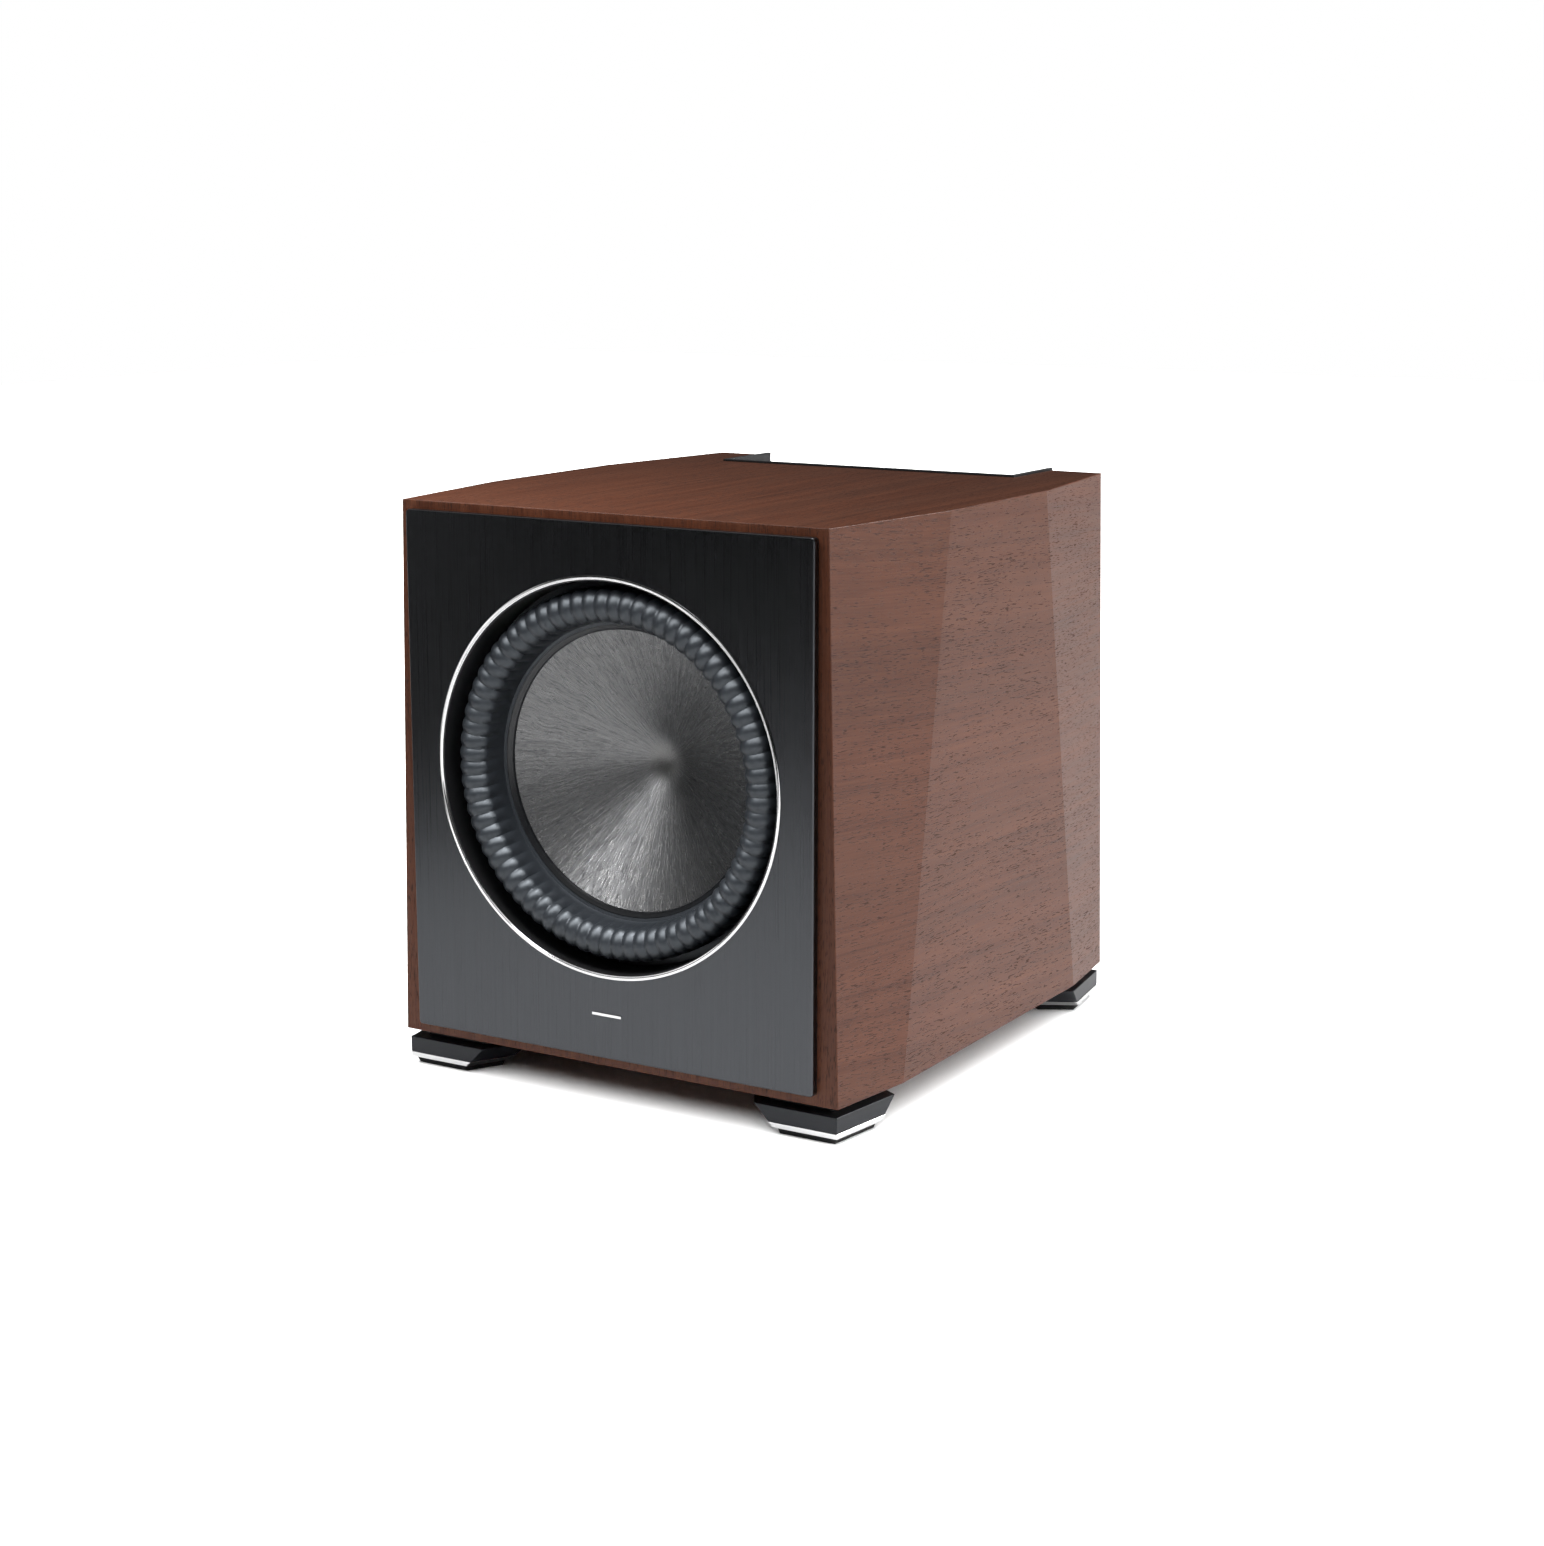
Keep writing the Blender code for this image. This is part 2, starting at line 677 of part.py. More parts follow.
def jacks(metal, cabinet):
    for name, x in JACK_PLACES.items():
        axis = empty(name + "_axis", cabinet, (x, AMP_PANEL_FACE, JACK_ROW), facing_back=True)
        barrel = 0.0042 if name.startswith("line") else 0.0050
        reach = 0.0105 if name.startswith("line") else 0.0030
        profile = [
            (0, -0.012),
            (0.0052, -0.012),
            (0.0052, 0.0003),
            (0.0075, 0.0003),
            (0.0075, 0.0018),
            (barrel, 0.0018),
            (barrel, reach),
            (0.0017, reach),
            (0.0017, reach - 0.009),
            (0, reach - 0.009),
        ]
        turned(name, profile, metal, axis, 16)


def toggle(metal, cabinet):
    """The auto-on switch's lever, drawn tilted down, at one end of its travel."""
    axis = empty("auto_on_switch_axis", cabinet, (TOGGLE_X, AMP_PANEL_FACE, CONTROL_ROW), facing_back=True)
    axis.rotation_euler = (-math.pi / 2 - math.radians(12), 0, 0)
    bat = [(0, -0.006), (0.0015, -0.006), (0.0015, 0.004), (0.0027, 0.0115), (0.0018, 0.0132), (0, 0.0136)]
    turned("auto_on_switch", bat, metal, axis, 12)


def mains_inlet(plastic, cabinet):
    """An inlet with its three pins, and a drawer above it that holds the fuse."""
    axis = (INLET_X, AMP_PANEL_FACE, INLET_HEIGHT)

    def part(name, low, high, finish_material=None, cutter=True):
        low = tuple(a + b for a, b in zip(axis, low))
        high = tuple(a + b for a, b in zip(axis, high))
        return box(name, low, high, finish_material, cabinet, cutter=cutter)

    inlet = part("mains_inlet", (-0.0140, -0.020, -0.0240), (0.0140, 0.0020, 0.0240), plastic, cutter=False)
    add(inlet, part("inlet_flange", (-0.0170, GAP, -0.0270), (0.0170, 0.0020, 0.0270)))
    cut(inlet, part("inlet_pocket", (-0.0120, -0.0155, -0.0205), (0.0120, 0.01, -0.0040)))
    cut(inlet, part("drawer_pocket", (-0.0112, -0.0175, 0.0068), (0.0112, 0.01, 0.0172)))
    for number, (x, z) in enumerate(((-0.007, -0.0145), (0, -0.0105), (0.007, -0.0145))):
        pin = part(f"inlet_pin_{number + 1}", (x - 0.001, -0.0165, z - 0.002), (x + 0.001, -0.0035, z + 0.002))
        add(inlet, pin)
    drawer = part("fuse_drawer", (-0.0108, -0.0170, 0.0072), (0.0108, 0.0034, 0.0168), plastic, cutter=False)
    cut(drawer, part("fuse_seat", (-0.0085, -0.0150, 0.0100), (0.0085, -0.0020, 0.03)))


def power_switch(plastic, cabinet):
    """A rocker in a frame, drawn pressed at its lower end."""
    centre = (ROCKER_X, AMP_PANEL_FACE, ROCKER_HEIGHT)

    def part(name, low, high, finish_material=None, cutter=True):
        low = tuple(a + b for a, b in zip(centre, low))
        high = tuple(a + b for a, b in zip(centre, high))
        return box(name, low, high, finish_material, cabinet, cutter=cutter)

    frame = part("rocker_frame", (-0.0090, -0.014, -0.0140), (0.0090, 0.0020, 0.0140), plastic, cutter=False)
    add(frame, part("rocker_flange", (-0.0115, GAP, -0.0165), (0.0115, 0.0020, 0.0165)))
    cut(frame, part("rocker_pocket", (-0.0070, -0.0110, -0.0118), (0.0070, 0.01, 0.0118)))

    pivot = empty("rocker_pivot", cabinet, (ROCKER_X, AMP_PANEL_FACE - 0.001, ROCKER_HEIGHT))
    pivot.rotation_euler = (math.radians(-8), 0, 0)
    outline = ((-0.0100, -0.0050), (0.0100, -0.0050), (0.0100, 0.0040), (0, 0.0055), (-0.0100, 0.0040))
    left = [(-0.0066, y, z) for z, y in outline]
    right = [(0.0066, y, z) for z, y in outline]
    loft("power_rocker", left, right, plastic, pivot)


# ---------------------------------------------------------------- assembly


def build():
    clear_scene()
    walnut = material("walnut_veneer", (0.16, 0.055, 0.028), 0.35)
    board = material("raw_board", (0.42, 0.30, 0.18), 0.85)
    brushed = material("brushed_black_metal", (0.06, 0.065, 0.07), 0.30, 0.9)
    chrome = material("polished_metal", (0.82, 0.82, 0.83), 0.08, 1.0)
    cast = material("cast_frame", (0.02, 0.02, 0.022), 0.5, 0.3)
    paper = material("cone_fibre", (0.13, 0.13, 0.135), 0.4)
    rubber = material("surround_rubber", (0.045, 0.05, 0.056), 0.42)
    trim = material("dark_trim", (0.07, 0.072, 0.078), 0.4)
    copper = material("copper_wire", (0.72, 0.30, 0.13), 0.3, 1.0)
    cloth = material("spider_cloth", (0.55, 0.36, 0.10), 0.8)
    steel = material("plated_steel", (0.55, 0.55, 0.56), 0.3, 1.0)
    ferrite = material("ferrite", (0.05, 0.05, 0.05), 0.6)
    graphite = material("graphite_casting", (0.06, 0.065, 0.075), 0.38, 0.4)
    foot_rubber = material("foot_rubber", (0.012, 0.012, 0.012), 0.75)
    plastic = material("black_plastic", (0.015, 0.015, 0.016), 0.45)
    alloy = material("black_anodised_alloy", (0.025, 0.025, 0.027), 0.35, 0.8)
    green = material("circuit_board_green", (0.02, 0.12, 0.05), 0.4)
    wound = material("transformer_tape", (0.10, 0.09, 0.05), 0.4)
    sleeve = material("capacitor_sleeve", (0.02, 0.03, 0.08), 0.3)
    nickel = material("nickel_plate", (0.7, 0.68, 0.62), 0.2, 1.0)
    red = material("red_insulation", (0.5, 0.02, 0.02), 0.4)

    cabinet = empty("cabinet_frame", None, (0, FRONT_Y, FOOT_HEIGHT))
    driver = empty("driver_axis", cabinet, (0, 0, DRIVER_HEIGHT), facing_back=True)
    moving = empty("cone_travel", driver)

    cabinet_panels(walnut, board, cabinet)
    baffle(brushed, chrome, cabinet, driver)
    basket(cast, plastic, driver)
    cone_assembly(paper, trim, copper, moving)
    surround(rubber, driver)
    spider(cloth, driver)
    motor(steel, ferrite, foot_rubber, driver)
    speaker_lead("speaker_lead_red", -1, red, cabinet)
    speaker_lead("speaker_lead_black", 1, plastic, cabinet)

    finishes = {"spacer": plastic, "body": graphite, "plate": chrome, "pad": foot_rubber}
    for name, side, at_back in (
        ("front_right", 1, False),
        ("front_left", -1, False),
        ("back_right", 1, True),
        ("back_left", -1, True),
    ):
        foot(name, side, at_back, finishes, cabinet)

    bay_and_panel(plastic, alloy, green, cabinet)
    heat_sink(alloy, cabinet)
    amp_parts(wound, sleeve, cabinet)
    for name, x in KNOB_PLACES.items():
        control_knob(name, x, plastic, trim, cabinet)
    jacks(nickel, cabinet)
    toggle(nickel, cabinet)
    mains_inlet(plastic, cabinet)
    power_switch(plastic, cabinet)


build()
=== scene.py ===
"""Looks of the powered subwoofer: its veneer, brushed plate, ribbed surround, fibre cone and rear controls.

Metres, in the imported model's frame: +Z up, the driver faces -Y and +X is to its right.
"""

import math

import bmesh
import bpy
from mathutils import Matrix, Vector
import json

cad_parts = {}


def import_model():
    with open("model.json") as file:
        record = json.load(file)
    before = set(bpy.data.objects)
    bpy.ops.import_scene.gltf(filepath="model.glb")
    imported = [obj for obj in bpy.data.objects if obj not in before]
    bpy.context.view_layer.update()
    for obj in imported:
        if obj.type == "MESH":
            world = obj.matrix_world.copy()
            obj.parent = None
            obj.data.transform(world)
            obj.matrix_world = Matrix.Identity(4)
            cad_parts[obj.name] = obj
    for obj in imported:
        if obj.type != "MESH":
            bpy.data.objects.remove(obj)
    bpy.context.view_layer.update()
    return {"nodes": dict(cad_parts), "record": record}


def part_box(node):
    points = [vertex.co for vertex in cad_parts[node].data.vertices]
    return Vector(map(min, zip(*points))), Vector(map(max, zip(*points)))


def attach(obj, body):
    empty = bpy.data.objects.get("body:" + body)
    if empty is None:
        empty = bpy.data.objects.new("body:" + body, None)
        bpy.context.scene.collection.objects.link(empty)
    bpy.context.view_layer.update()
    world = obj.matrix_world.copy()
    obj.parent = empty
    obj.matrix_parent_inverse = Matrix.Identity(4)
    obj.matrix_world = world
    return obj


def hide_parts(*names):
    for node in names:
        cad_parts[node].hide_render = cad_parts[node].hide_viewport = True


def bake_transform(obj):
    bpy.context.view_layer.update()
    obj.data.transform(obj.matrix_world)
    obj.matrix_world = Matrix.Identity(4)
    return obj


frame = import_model()

# ---------------------------------------------------------------- places read from the frame

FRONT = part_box("front_panel")[0].y
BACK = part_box("back_panel")[1].y
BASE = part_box("bottom_panel")[0].z
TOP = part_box("top_panel")[1].z
HEIGHT = TOP - BASE
DEPTH = BACK - FRONT
MIDDLE_HALF_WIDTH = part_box("right_side_panel")[1].x
DRIVER_Z = (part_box("trim_ring")[0].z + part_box("trim_ring")[1].z) / 2
PANEL_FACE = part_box("amp_panel")[1].y

# Cabinet shape, as in the frame. The half widths are pairs: at the base and at the top.
FRONT_HALF_WIDTH = (0.210, 0.200)
BACK_HALF_WIDTH = (0.210, 0.199)
FACET_SLOPE = 0.142
WALL = 0.022
FRONT_WALL = 0.045
EDGE_RADIUS = 0.0009
NOTCH_HALF_WIDTH = 0.1503
NOTCH_DEPTH = 0.413
HOUSING_FLANGE = 0.0117
CUT_MARGIN = 0.02

# Faces above this area, in square metres, are shaded flat on pieces with rounded edges.
BROAD_FACE = 8e-6
SHARP_ANGLE = math.radians(25)

# Driver shape, in radii and depths behind the wooden front.
REBATE_RADIUS = 0.175
REBATE_DEPTH = 0.0333
DRIVER_HOLE = 0.1515
PLATE_OPENING = 0.1602
SURROUND_OUTER = 0.1575
SURROUND_INNER = 0.1196
ROLL_BASE = 0.0247
ROLL_FOOT = (0.1222, 0.0262)
CREST = (0.1372, 0.0104)
CREST_RADIUS = 0.0142
RIBS = 76
RIBS_PER_SECTOR = 4
RIB_HEIGHT = 0.0018
CONE_RADIUS = 0.118
CONE_EDGE_DEPTH = 0.0308
CONE_SLOPE = 0.511
CONE_THICKNESS = 0.0023
CONE_CAP = 0.026

# Rear controls: screws down the sides and along the bottom, and the marks around the knobs.
PANEL_SCREW_X = 0.1340
PANEL_SCREW_ROWS = (0.110, 0.196, 0.282, 0.368, 0.452)
PANEL_SCREW_COLUMNS = (-0.067, 0.0, 0.067)
HOUSING_SCREW_INSET = 0.0058
HOUSING_SCREW_ROWS = (0.100, 0.190, 0.280, 0.370, 0.460)
HOUSING_SCREW_COLUMNS = (-0.100, 0.0, 0.100)
DIAL_RANGE = 150
DIAL_MARKS = 11

# Paper floor: it reaches this far to each side and behind.
FLOOR_SIDE = 7.0
FLOOR_BACK = 9.0


# ---------------------------------------------------------------- mesh helpers


def blend(pair, share):
    """The value at a share of the way from the first to the second."""
    return pair[0] + (pair[1] - pair[0]) * share


def place(x, depth, height):
    """Cabinet coordinates to the frame: depth behind the wooden front, height above the wooden base."""
    return (x, FRONT + depth, BASE + height)


def driver_point(radius, depth, turn):
    """A point around the driver's axis, at a depth behind the wooden front."""
    return (radius * math.cos(turn), FRONT + depth, DRIVER_Z + radius * math.sin(turn))


def piece(name, shape, look, body, replaced=(), smooth=None):
    """Turns a bmesh into a finished piece that rides on a body. look is a material and its record slot."""
    bmesh.ops.recalc_face_normals(shape, faces=shape.faces)
    mesh = bpy.data.meshes.new(name)
    shape.to_mesh(mesh)
    shape.free()
    if smooth is not None:
        mesh.shade_smooth()
        mesh.set_sharp_from_angle(angle=math.radians(smooth))
    material, slot = look
    mesh.materials.append(material)
    made = bpy.data.objects.new(name, mesh)
    bpy.context.scene.collection.objects.link(made)
    if body:
        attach(made, body)
    if replaced:
        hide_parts(*replaced)
    return made


def ring_of_faces(shape, first, second):
    """Joins two loops with the same number of points."""
    for i in range(len(first)):
        j = (i + 1) % len(first)
        shape.faces.new((first[i], first[j], second[j], second[i]))


def add_loop(shape, points):
    return [shape.verts.new(point) for point in points]


def revolve(shape, profile, segments, centre, closed=True):
    """Adds a surface turned around a line along Y. The profile is (radius, depth) points."""
    loops = []
    for radius, depth in profile:
        if radius < 1e-6:
            loops.append([shape.verts.new((centre[0], centre[1] + depth, centre[2]))])
            continue
        points = []
        for i in range(segments):
            turn = 2 * math.pi * i / segments
            x, z = radius * math.cos(turn), radius * math.sin(turn)
            points.append((centre[0] + x, centre[1] + depth, centre[2] + z))
        loops.append(add_loop(shape, points))
    pairs = list(zip(loops, loops[1:]))
    if closed:
        pairs.append((loops[-1], loops[0]))
    for first, second in pairs:
        if len(first) == 1 and len(second) == 1:
            continue
        elif len(first) == 1 or len(second) == 1:
            tip, rim = (first[0], second) if len(first) == 1 else (second[0], first)
            for i in range(len(rim)):
                shape.faces.new((tip, rim[i], rim[(i + 1) % len(rim)]))
        else:
            ring_of_faces(shape, first, second)


def turned_piece(name, profile, look, body, replaced, segments, smooth):
    """A piece turned around the driver's axis."""
    shape = bmesh.new()
    revolve(shape, profile, segments, (0, FRONT, DRIVER_Z))
    return piece(name, shape, look, body, replaced, smooth)


def arc(centre, radius, start, end, steps):
    """Points of an arc in a profile, angles in degrees."""
    points = []
    for i in range(steps + 1):
        turn = math.radians(start + (end - start) * i / steps)
        points.append((centre[0] + radius * math.cos(turn), centre[1] + radius * math.sin(turn)))
    return points


def block(shape, low, high):
    """Adds a box between two corners."""
    made = bmesh.ops.create_cube(shape, size=1)["verts"]
    middle = [(a + b) / 2 for a, b in zip(low, high)]
    size = [b - a for a, b in zip(low, high)]
    for vert in made:
        vert.co = Vector([m + s * c for m, s, c in zip(middle, size, vert.co)])


def round_edges(shape, width, segments=2):
    """Rounds every sharp edge."""
    shared = [edge for edge in shape.edges if len(edge.link_faces) == 2]
    sharp = [edge for edge in shared if edge.calc_face_angle(0) > SHARP_ANGLE]
    bmesh.ops.bevel(
        shape,
        geom=sharp,
        offset=width,
        offset_type="OFFSET",
        segments=segments,
        profile=0.6,
        affect="EDGES",
        clamp_overlap=True,
    )


def solid_of(node):
    """The CAD node's solid, welded and with its flat faces whole again."""
    shape = bmesh.new()
    shape.from_mesh(frame["nodes"][node].data)
    bmesh.ops.remove_doubles(shape, verts=shape.verts, dist=1e-6)
    bmesh.ops.dissolve_limit(
        shape,
        angle_limit=math.radians(1),
        verts=shape.verts,
        edges=shape.edges,
        use_dissolve_boundaries=False,
    )
    return shape


def softened(node, width, look, body="cabinet", segments=2):
    """The CAD node's shape with its sharp edges rounded."""
    shape = solid_of(node)
    round_edges(shape, width, segments)
    return flat_broad_faces(piece(node + "_finished", shape, look, body, (node,), 30))


def flat_broad_faces(made):
    """Shades the broad faces flat, so that only the rounded edges are smooth."""
    for face in made.data.polygons:
        if face.area > BROAD_FACE:
            face.use_smooth = False
    return made


# ---------------------------------------------------------------- node helpers


class Recipe:
    """One Principled material, built node by node. Its record slot is its own name unless one is given."""

    def __init__(self, name, slot=None, **constants):
        self.slot = slot or name
        self.material = bpy.data.materials.new(name)
        self.material.use_nodes = True
        self.nodes = self.material.node_tree.nodes
        self.links = self.material.node_tree.links
        self.shader = self.nodes["Principled BSDF"]
        for key, value in constants.items():
            self.shader.inputs[key.replace("_", " ")].default_value = value
        self.position = self.add("TexCoord").outputs["Object"]
        split = self.add("SeparateXYZ", {"Vector": self.position})
        self.axis = {"x": split.outputs["X"], "y": split.outputs["Y"], "z": split.outputs["Z"]}

    def add(self, kind, inputs=None, **settings):
        node = self.nodes.new("ShaderNode" + kind)
        for key, value in settings.items():
            setattr(node, key, value)
        for key, value in (inputs or {}).items():
            if isinstance(value, bpy.types.NodeSocket):
                self.links.new(value, node.inputs[key])
            else:
                node.inputs[key].default_value = value
        return node

    def maths(self, operation, first, second=0.0, third=0.0):
        return self.add("Math", {0: first, 1: second, 2: third}, operation=operation).outputs[0]

    def vector(self, x, y, z):
        return self.add("CombineXYZ", {0: x, 1: y, 2: z}).outputs[0]

    def scaled(self, vector, scale, shift=(0, 0, 0)):
        return self.add("Mapping", {"Vector": vector, "Scale": scale, "Location": shift}).outputs[0]

    def noise(self, vector, scale=(1, 1, 1), detail=2.0, roughness=0.5, shift=(0, 0, 0)):
        inputs = {"Vector": self.scaled(vector, scale, shift), "Scale": 1.0}
        inputs.update({"Detail": detail, "Roughness": roughness})
        return self.add("TexNoise", inputs).outputs["Fac"]

    def ramp(self, factor, *stops):
        node = self.add("ValToRGB", {"Fac": factor})
        while len(node.color_ramp.elements) < len(stops):
            node.color_ramp.elements.new(0.5)
        for element, (position, colour) in zip(node.color_ramp.elements, stops):
            element.position = position
            element.color = (*colour, 1) if isinstance(colour, tuple) else (colour, colour, colour, 1)
        return node.outputs["Color"]

    def steps(self, factor, low, high, start=0.0, end=1.0):
        return self.add("MapRange", {0: factor, 1: low, 2: high, 3: start, 4: end}).outputs[0]

    def mix(self, factor, first, second):
        """Blends two colours; sockets 0, 6 and 7 of the node are the factor and the colours."""
        node = self.add("Mix", data_type="RGBA")
        for key, value in ((0, factor), (6, first), (7, second)):
            if isinstance(value, bpy.types.NodeSocket):
                self.links.new(value, node.inputs[key])
            elif key == 0:
                node.inputs[key].default_value = value
            else:
                node.inputs[key].default_value = (*value, 1)
        return node.outputs[2]

    def set(self, socket, value):
        self.links.new(value, self.shader.inputs[socket])

    def bump(self, height, strength, distance):
        inputs = {"Height": height, "Strength": strength, "Distance": distance}
        return self.add("Bump", inputs).outputs[0]

    @property
    def look(self):
        return (self.material, self.slot)


# ---------------------------------------------------------------- materials


def veneer(name, along, across, shift, tilt=0.0):
    """Dark walnut veneer: slow colour bands, flat-sawn figure, fine streaks and short dark pores."""
    third = ({"x", "y", "z"} - {along, across}).pop()
    r = Recipe(name, "walnut_veneer", IOR=1.45, Specular_IOR_Level=0.30)
    grain = r.vector(r.axis[along], r.axis[across], r.axis[third])
    drift = r.noise(grain, (2.0, 5.0, 2.0), 1.0, shift=shift)
    bent = r.maths("MULTIPLY_ADD", drift, 0.030, r.axis[across])
    bent = r.maths("MULTIPLY_ADD", r.axis[along], tilt, bent)
    grain = r.vector(r.axis[along], bent, r.axis[third])

    bands = r.noise(grain, (1.0, 110.0, 3.0), 3.0, 0.60, shift)
    streaks = r.noise(grain, (11.0, 720.0, 40.0), 4.0, 0.65, shift)
    contour = r.noise(grain, (2.2, 7.5, 1.0), 1.0, 0.4, (shift[1], shift[0], 3.1))
    figure = r.maths("SINE", r.maths("MULTIPLY", contour, 95.0))
    figure = r.steps(figure, -1.0, 1.0)
    tone = r.maths("ADD", r.maths("MULTIPLY", bands, 0.46), r.maths("MULTIPLY", streaks, 0.50))
    tone = r.maths("MULTIPLY_ADD", figure, 0.035, tone)
    colour = r.ramp(
        tone,
        (0.30, (0.060, 0.0170, 0.0078)),
        (0.43, (0.098, 0.0300, 0.0140)),
        (0.53, (0.121, 0.0390, 0.0185)),
        (0.70, (0.160, 0.0550, 0.0270)),
    )
    grey = r.noise(grain, (0.9, 26.0, 2.0), 2.0, 0.5, (shift[2], 1.7, shift[0]))
    grey = r.steps(grey, 0.40, 0.64)
    colour = r.mix(r.maths("MULTIPLY", grey, 0.24), colour, (0.086, 0.036, 0.021))

    dashes = r.noise(grain, (120.0, 1250.0, 300.0), 1.0, 0.5, shift)
    crowd = r.noise(grain, (7.0, 22.0, 4.0), 2.0, 0.5, (5.0, shift[1], 0.4))
    level = r.steps(crowd, 0.30, 0.65, 0.63, 0.565)
    pores = r.maths("MULTIPLY", r.maths("SUBTRACT", dashes, level), 18.0)
    pores = r.add("Clamp", {"Value": pores}).outputs[0]
    colour = r.mix(r.maths("MULTIPLY", pores, 0.66), colour, (0.024, 0.010, 0.006))
    r.set("Base Color", colour)
    r.set("Roughness", r.maths("MULTIPLY_ADD", pores, 0.25, r.steps(streaks, 0.3, 0.7, 0.33, 0.42)))

    height = r.maths("SUBTRACT", r.maths("MULTIPLY", streaks, 0.25), pores)
    r.set("Normal", r.bump(height, 0.35, 0.0004))
    return r.look


def brushed_metal():
    """Black metal brushed from top to bottom."""
    r = Recipe("brushed_black_metal", Metallic=1.0)
    fine = r.noise(r.position, (3600.0, 3600.0, 7.0), 2.0, 0.6)
    broad = r.noise(r.position, (420.0, 420.0, 1.4), 3.0, 0.6)
    line = r.maths("ADD", r.maths("MULTIPLY", fine, 0.75), r.maths("MULTIPLY", broad, 0.25))
    r.set("Base Color", r.ramp(line, (0.30, (0.074, 0.077, 0.083)), (0.70, (0.086, 0.089, 0.096))))
    r.set("Roughness", r.steps(line, 0.3, 0.7, 0.26, 0.32))
    r.set("Normal", r.bump(line, 0.05, 0.0002))
    return r.look


def polished():
    r = Recipe("polished_metal", Metallic=1.0)
    haze = r.noise(r.position, (60.0, 60.0, 60.0), 3.0)
    r.set("Base Color", r.ramp(haze, (0.3, (0.80, 0.80, 0.81)), (0.7, (0.86, 0.86, 0.86))))
    r.set("Roughness", r.steps(haze, 0.3, 0.7, 0.07, 0.13))
    return r.look


def moulded(name, dark, light, rough, grain=900.0, strength=0.12, metallic=0.0, slot=None, **constants):
    """A moulded, cast or painted surface: slight mottling and a fine grain in the relief."""
    r = Recipe(name, slot, Metallic=metallic, **constants)
    slow = r.noise(r.position, (8.0, 8.0, 8.0), 3.0, 0.6)
    fine = r.noise(r.position, (grain, grain, grain), 2.0, 0.55)
    r.set("Base Color", r.ramp(slow, (0.3, dark), (0.7, light)))
    both = r.maths("ADD", r.maths("MULTIPLY", slow, 0.5), r.maths("MULTIPLY", fine, 0.5))
    r.set("Roughness", r.steps(both, 0.3, 0.7, rough[0], rough[1]))
    r.set("Normal", r.bump(fine, strength, 0.0003))
    return r.look


def cone_fibre():
    """Fibres that run out from the cone's centre, with faint turning rings near the middle and a lighter,
    even disc of painted light at the centre.
    """
    r = Recipe("cone_fibre", Metallic=0.80)
    up = r.maths("SUBTRACT", r.axis["z"], DRIVER_Z)
    squares = [r.maths("MULTIPLY", each, each) for each in (up, r.axis["x"])]
    radius = r.maths("SQRT", r.maths("ADD", *squares))
    safe = r.maths("MAXIMUM", radius, 0.002)
    side = r.maths("DIVIDE", r.axis["x"], safe)
    rise = r.maths("DIVIDE", up, safe)
    drift = r.noise(r.position, (26.0, 26.0, 26.0), 2.0, 0.5)
    reach = r.maths("MULTIPLY", radius, 22.0)
    wander = r.maths("MULTIPLY", drift, 0.10)
    heading = (r.maths("ADD", side, wander), r.maths("ADD", rise, wander))
    spread = r.vector(*heading, r.maths("MULTIPLY", reach, 0.04))
    coarse = r.noise(spread, (34.0, 34.0, 26.0), 4.0, 0.65)
    spread = r.vector(*heading, r.maths("MULTIPLY", reach, 0.10))
    fine = r.noise(spread, (130.0, 130.0, 50.0), 3.0, 0.65, (2.0, 7.0, 1.0))
    fibre = r.maths("ADD", r.maths("MULTIPLY", coarse, 0.45), r.maths("MULTIPLY", fine, 0.55))
    veins = r.noise(spread, (42.0, 42.0, 22.0), 2.0, 0.55, (9.0, 1.0, 4.0))
    veins = r.maths("ABSOLUTE", r.maths("SUBTRACT", veins, 0.5))
    veins = r.steps(veins, 0.003, 0.022, 1.0, 0.0)
    colour = r.ramp(
        fibre,
        (0.36, (0.085, 0.086, 0.089)),
        (0.46, (0.143, 0.144, 0.147)),
        (0.55, (0.166, 0.166, 0.168)),
        (0.68, (0.190, 0.189, 0.188)),
    )
    colour = r.mix(r.maths("MULTIPLY", veins, 0.55), colour, (0.030, 0.031, 0.034))
    # Painted light: an even, lighter grey disc at the centre stands in for the soft shading on the cone's
    # rounded middle, and it also hides the fibres there.
    middle = r.steps(radius, 0.010, 0.020, 0.85, 0.0)
    colour = r.mix(middle, colour, (0.170, 0.169, 0.167))
    r.set("Base Color", colour)
    r.set("Roughness", r.steps(fibre, 0.35, 0.65, 0.33, 0.24))
    rings = r.maths("SINE", r.maths("MULTIPLY", radius, 5200.0))
    near = r.steps(radius, 0.016, 0.034, 1.0, 0.0)
    rings = r.maths("MULTIPLY", r.maths("MULTIPLY", rings, near), 0.04)
    height = r.maths("SUBTRACT", r.maths("ADD", fibre, rings), r.maths("MULTIPLY", veins, 0.35))
    outwards = r.steps(radius, 0.008, 0.050, 0.15, 1.0)
    height = r.maths("MULTIPLY", height, outwards)
    r.set("Normal", r.bump(height, 0.20, 0.0012))
    return r.look


def woven(name, dark, light, pitch):
    """Resin-coated cloth with a plain weave."""
    r = Recipe(name, Roughness=0.75)
    over = r.maths("SINE", r.maths("MULTIPLY", r.axis["x"], math.pi / pitch))
    under = r.maths("SINE", r.maths("MULTIPLY", r.axis["z"], math.pi / pitch))
    weave = r.steps(r.maths("MULTIPLY", over, under), -1.0, 1.0)
    r.set("Base Color", r.ramp(weave, (0.2, dark), (0.8, light)))
    r.set("Normal", r.bump(weave, 0.5, 0.0003))
    return r.look


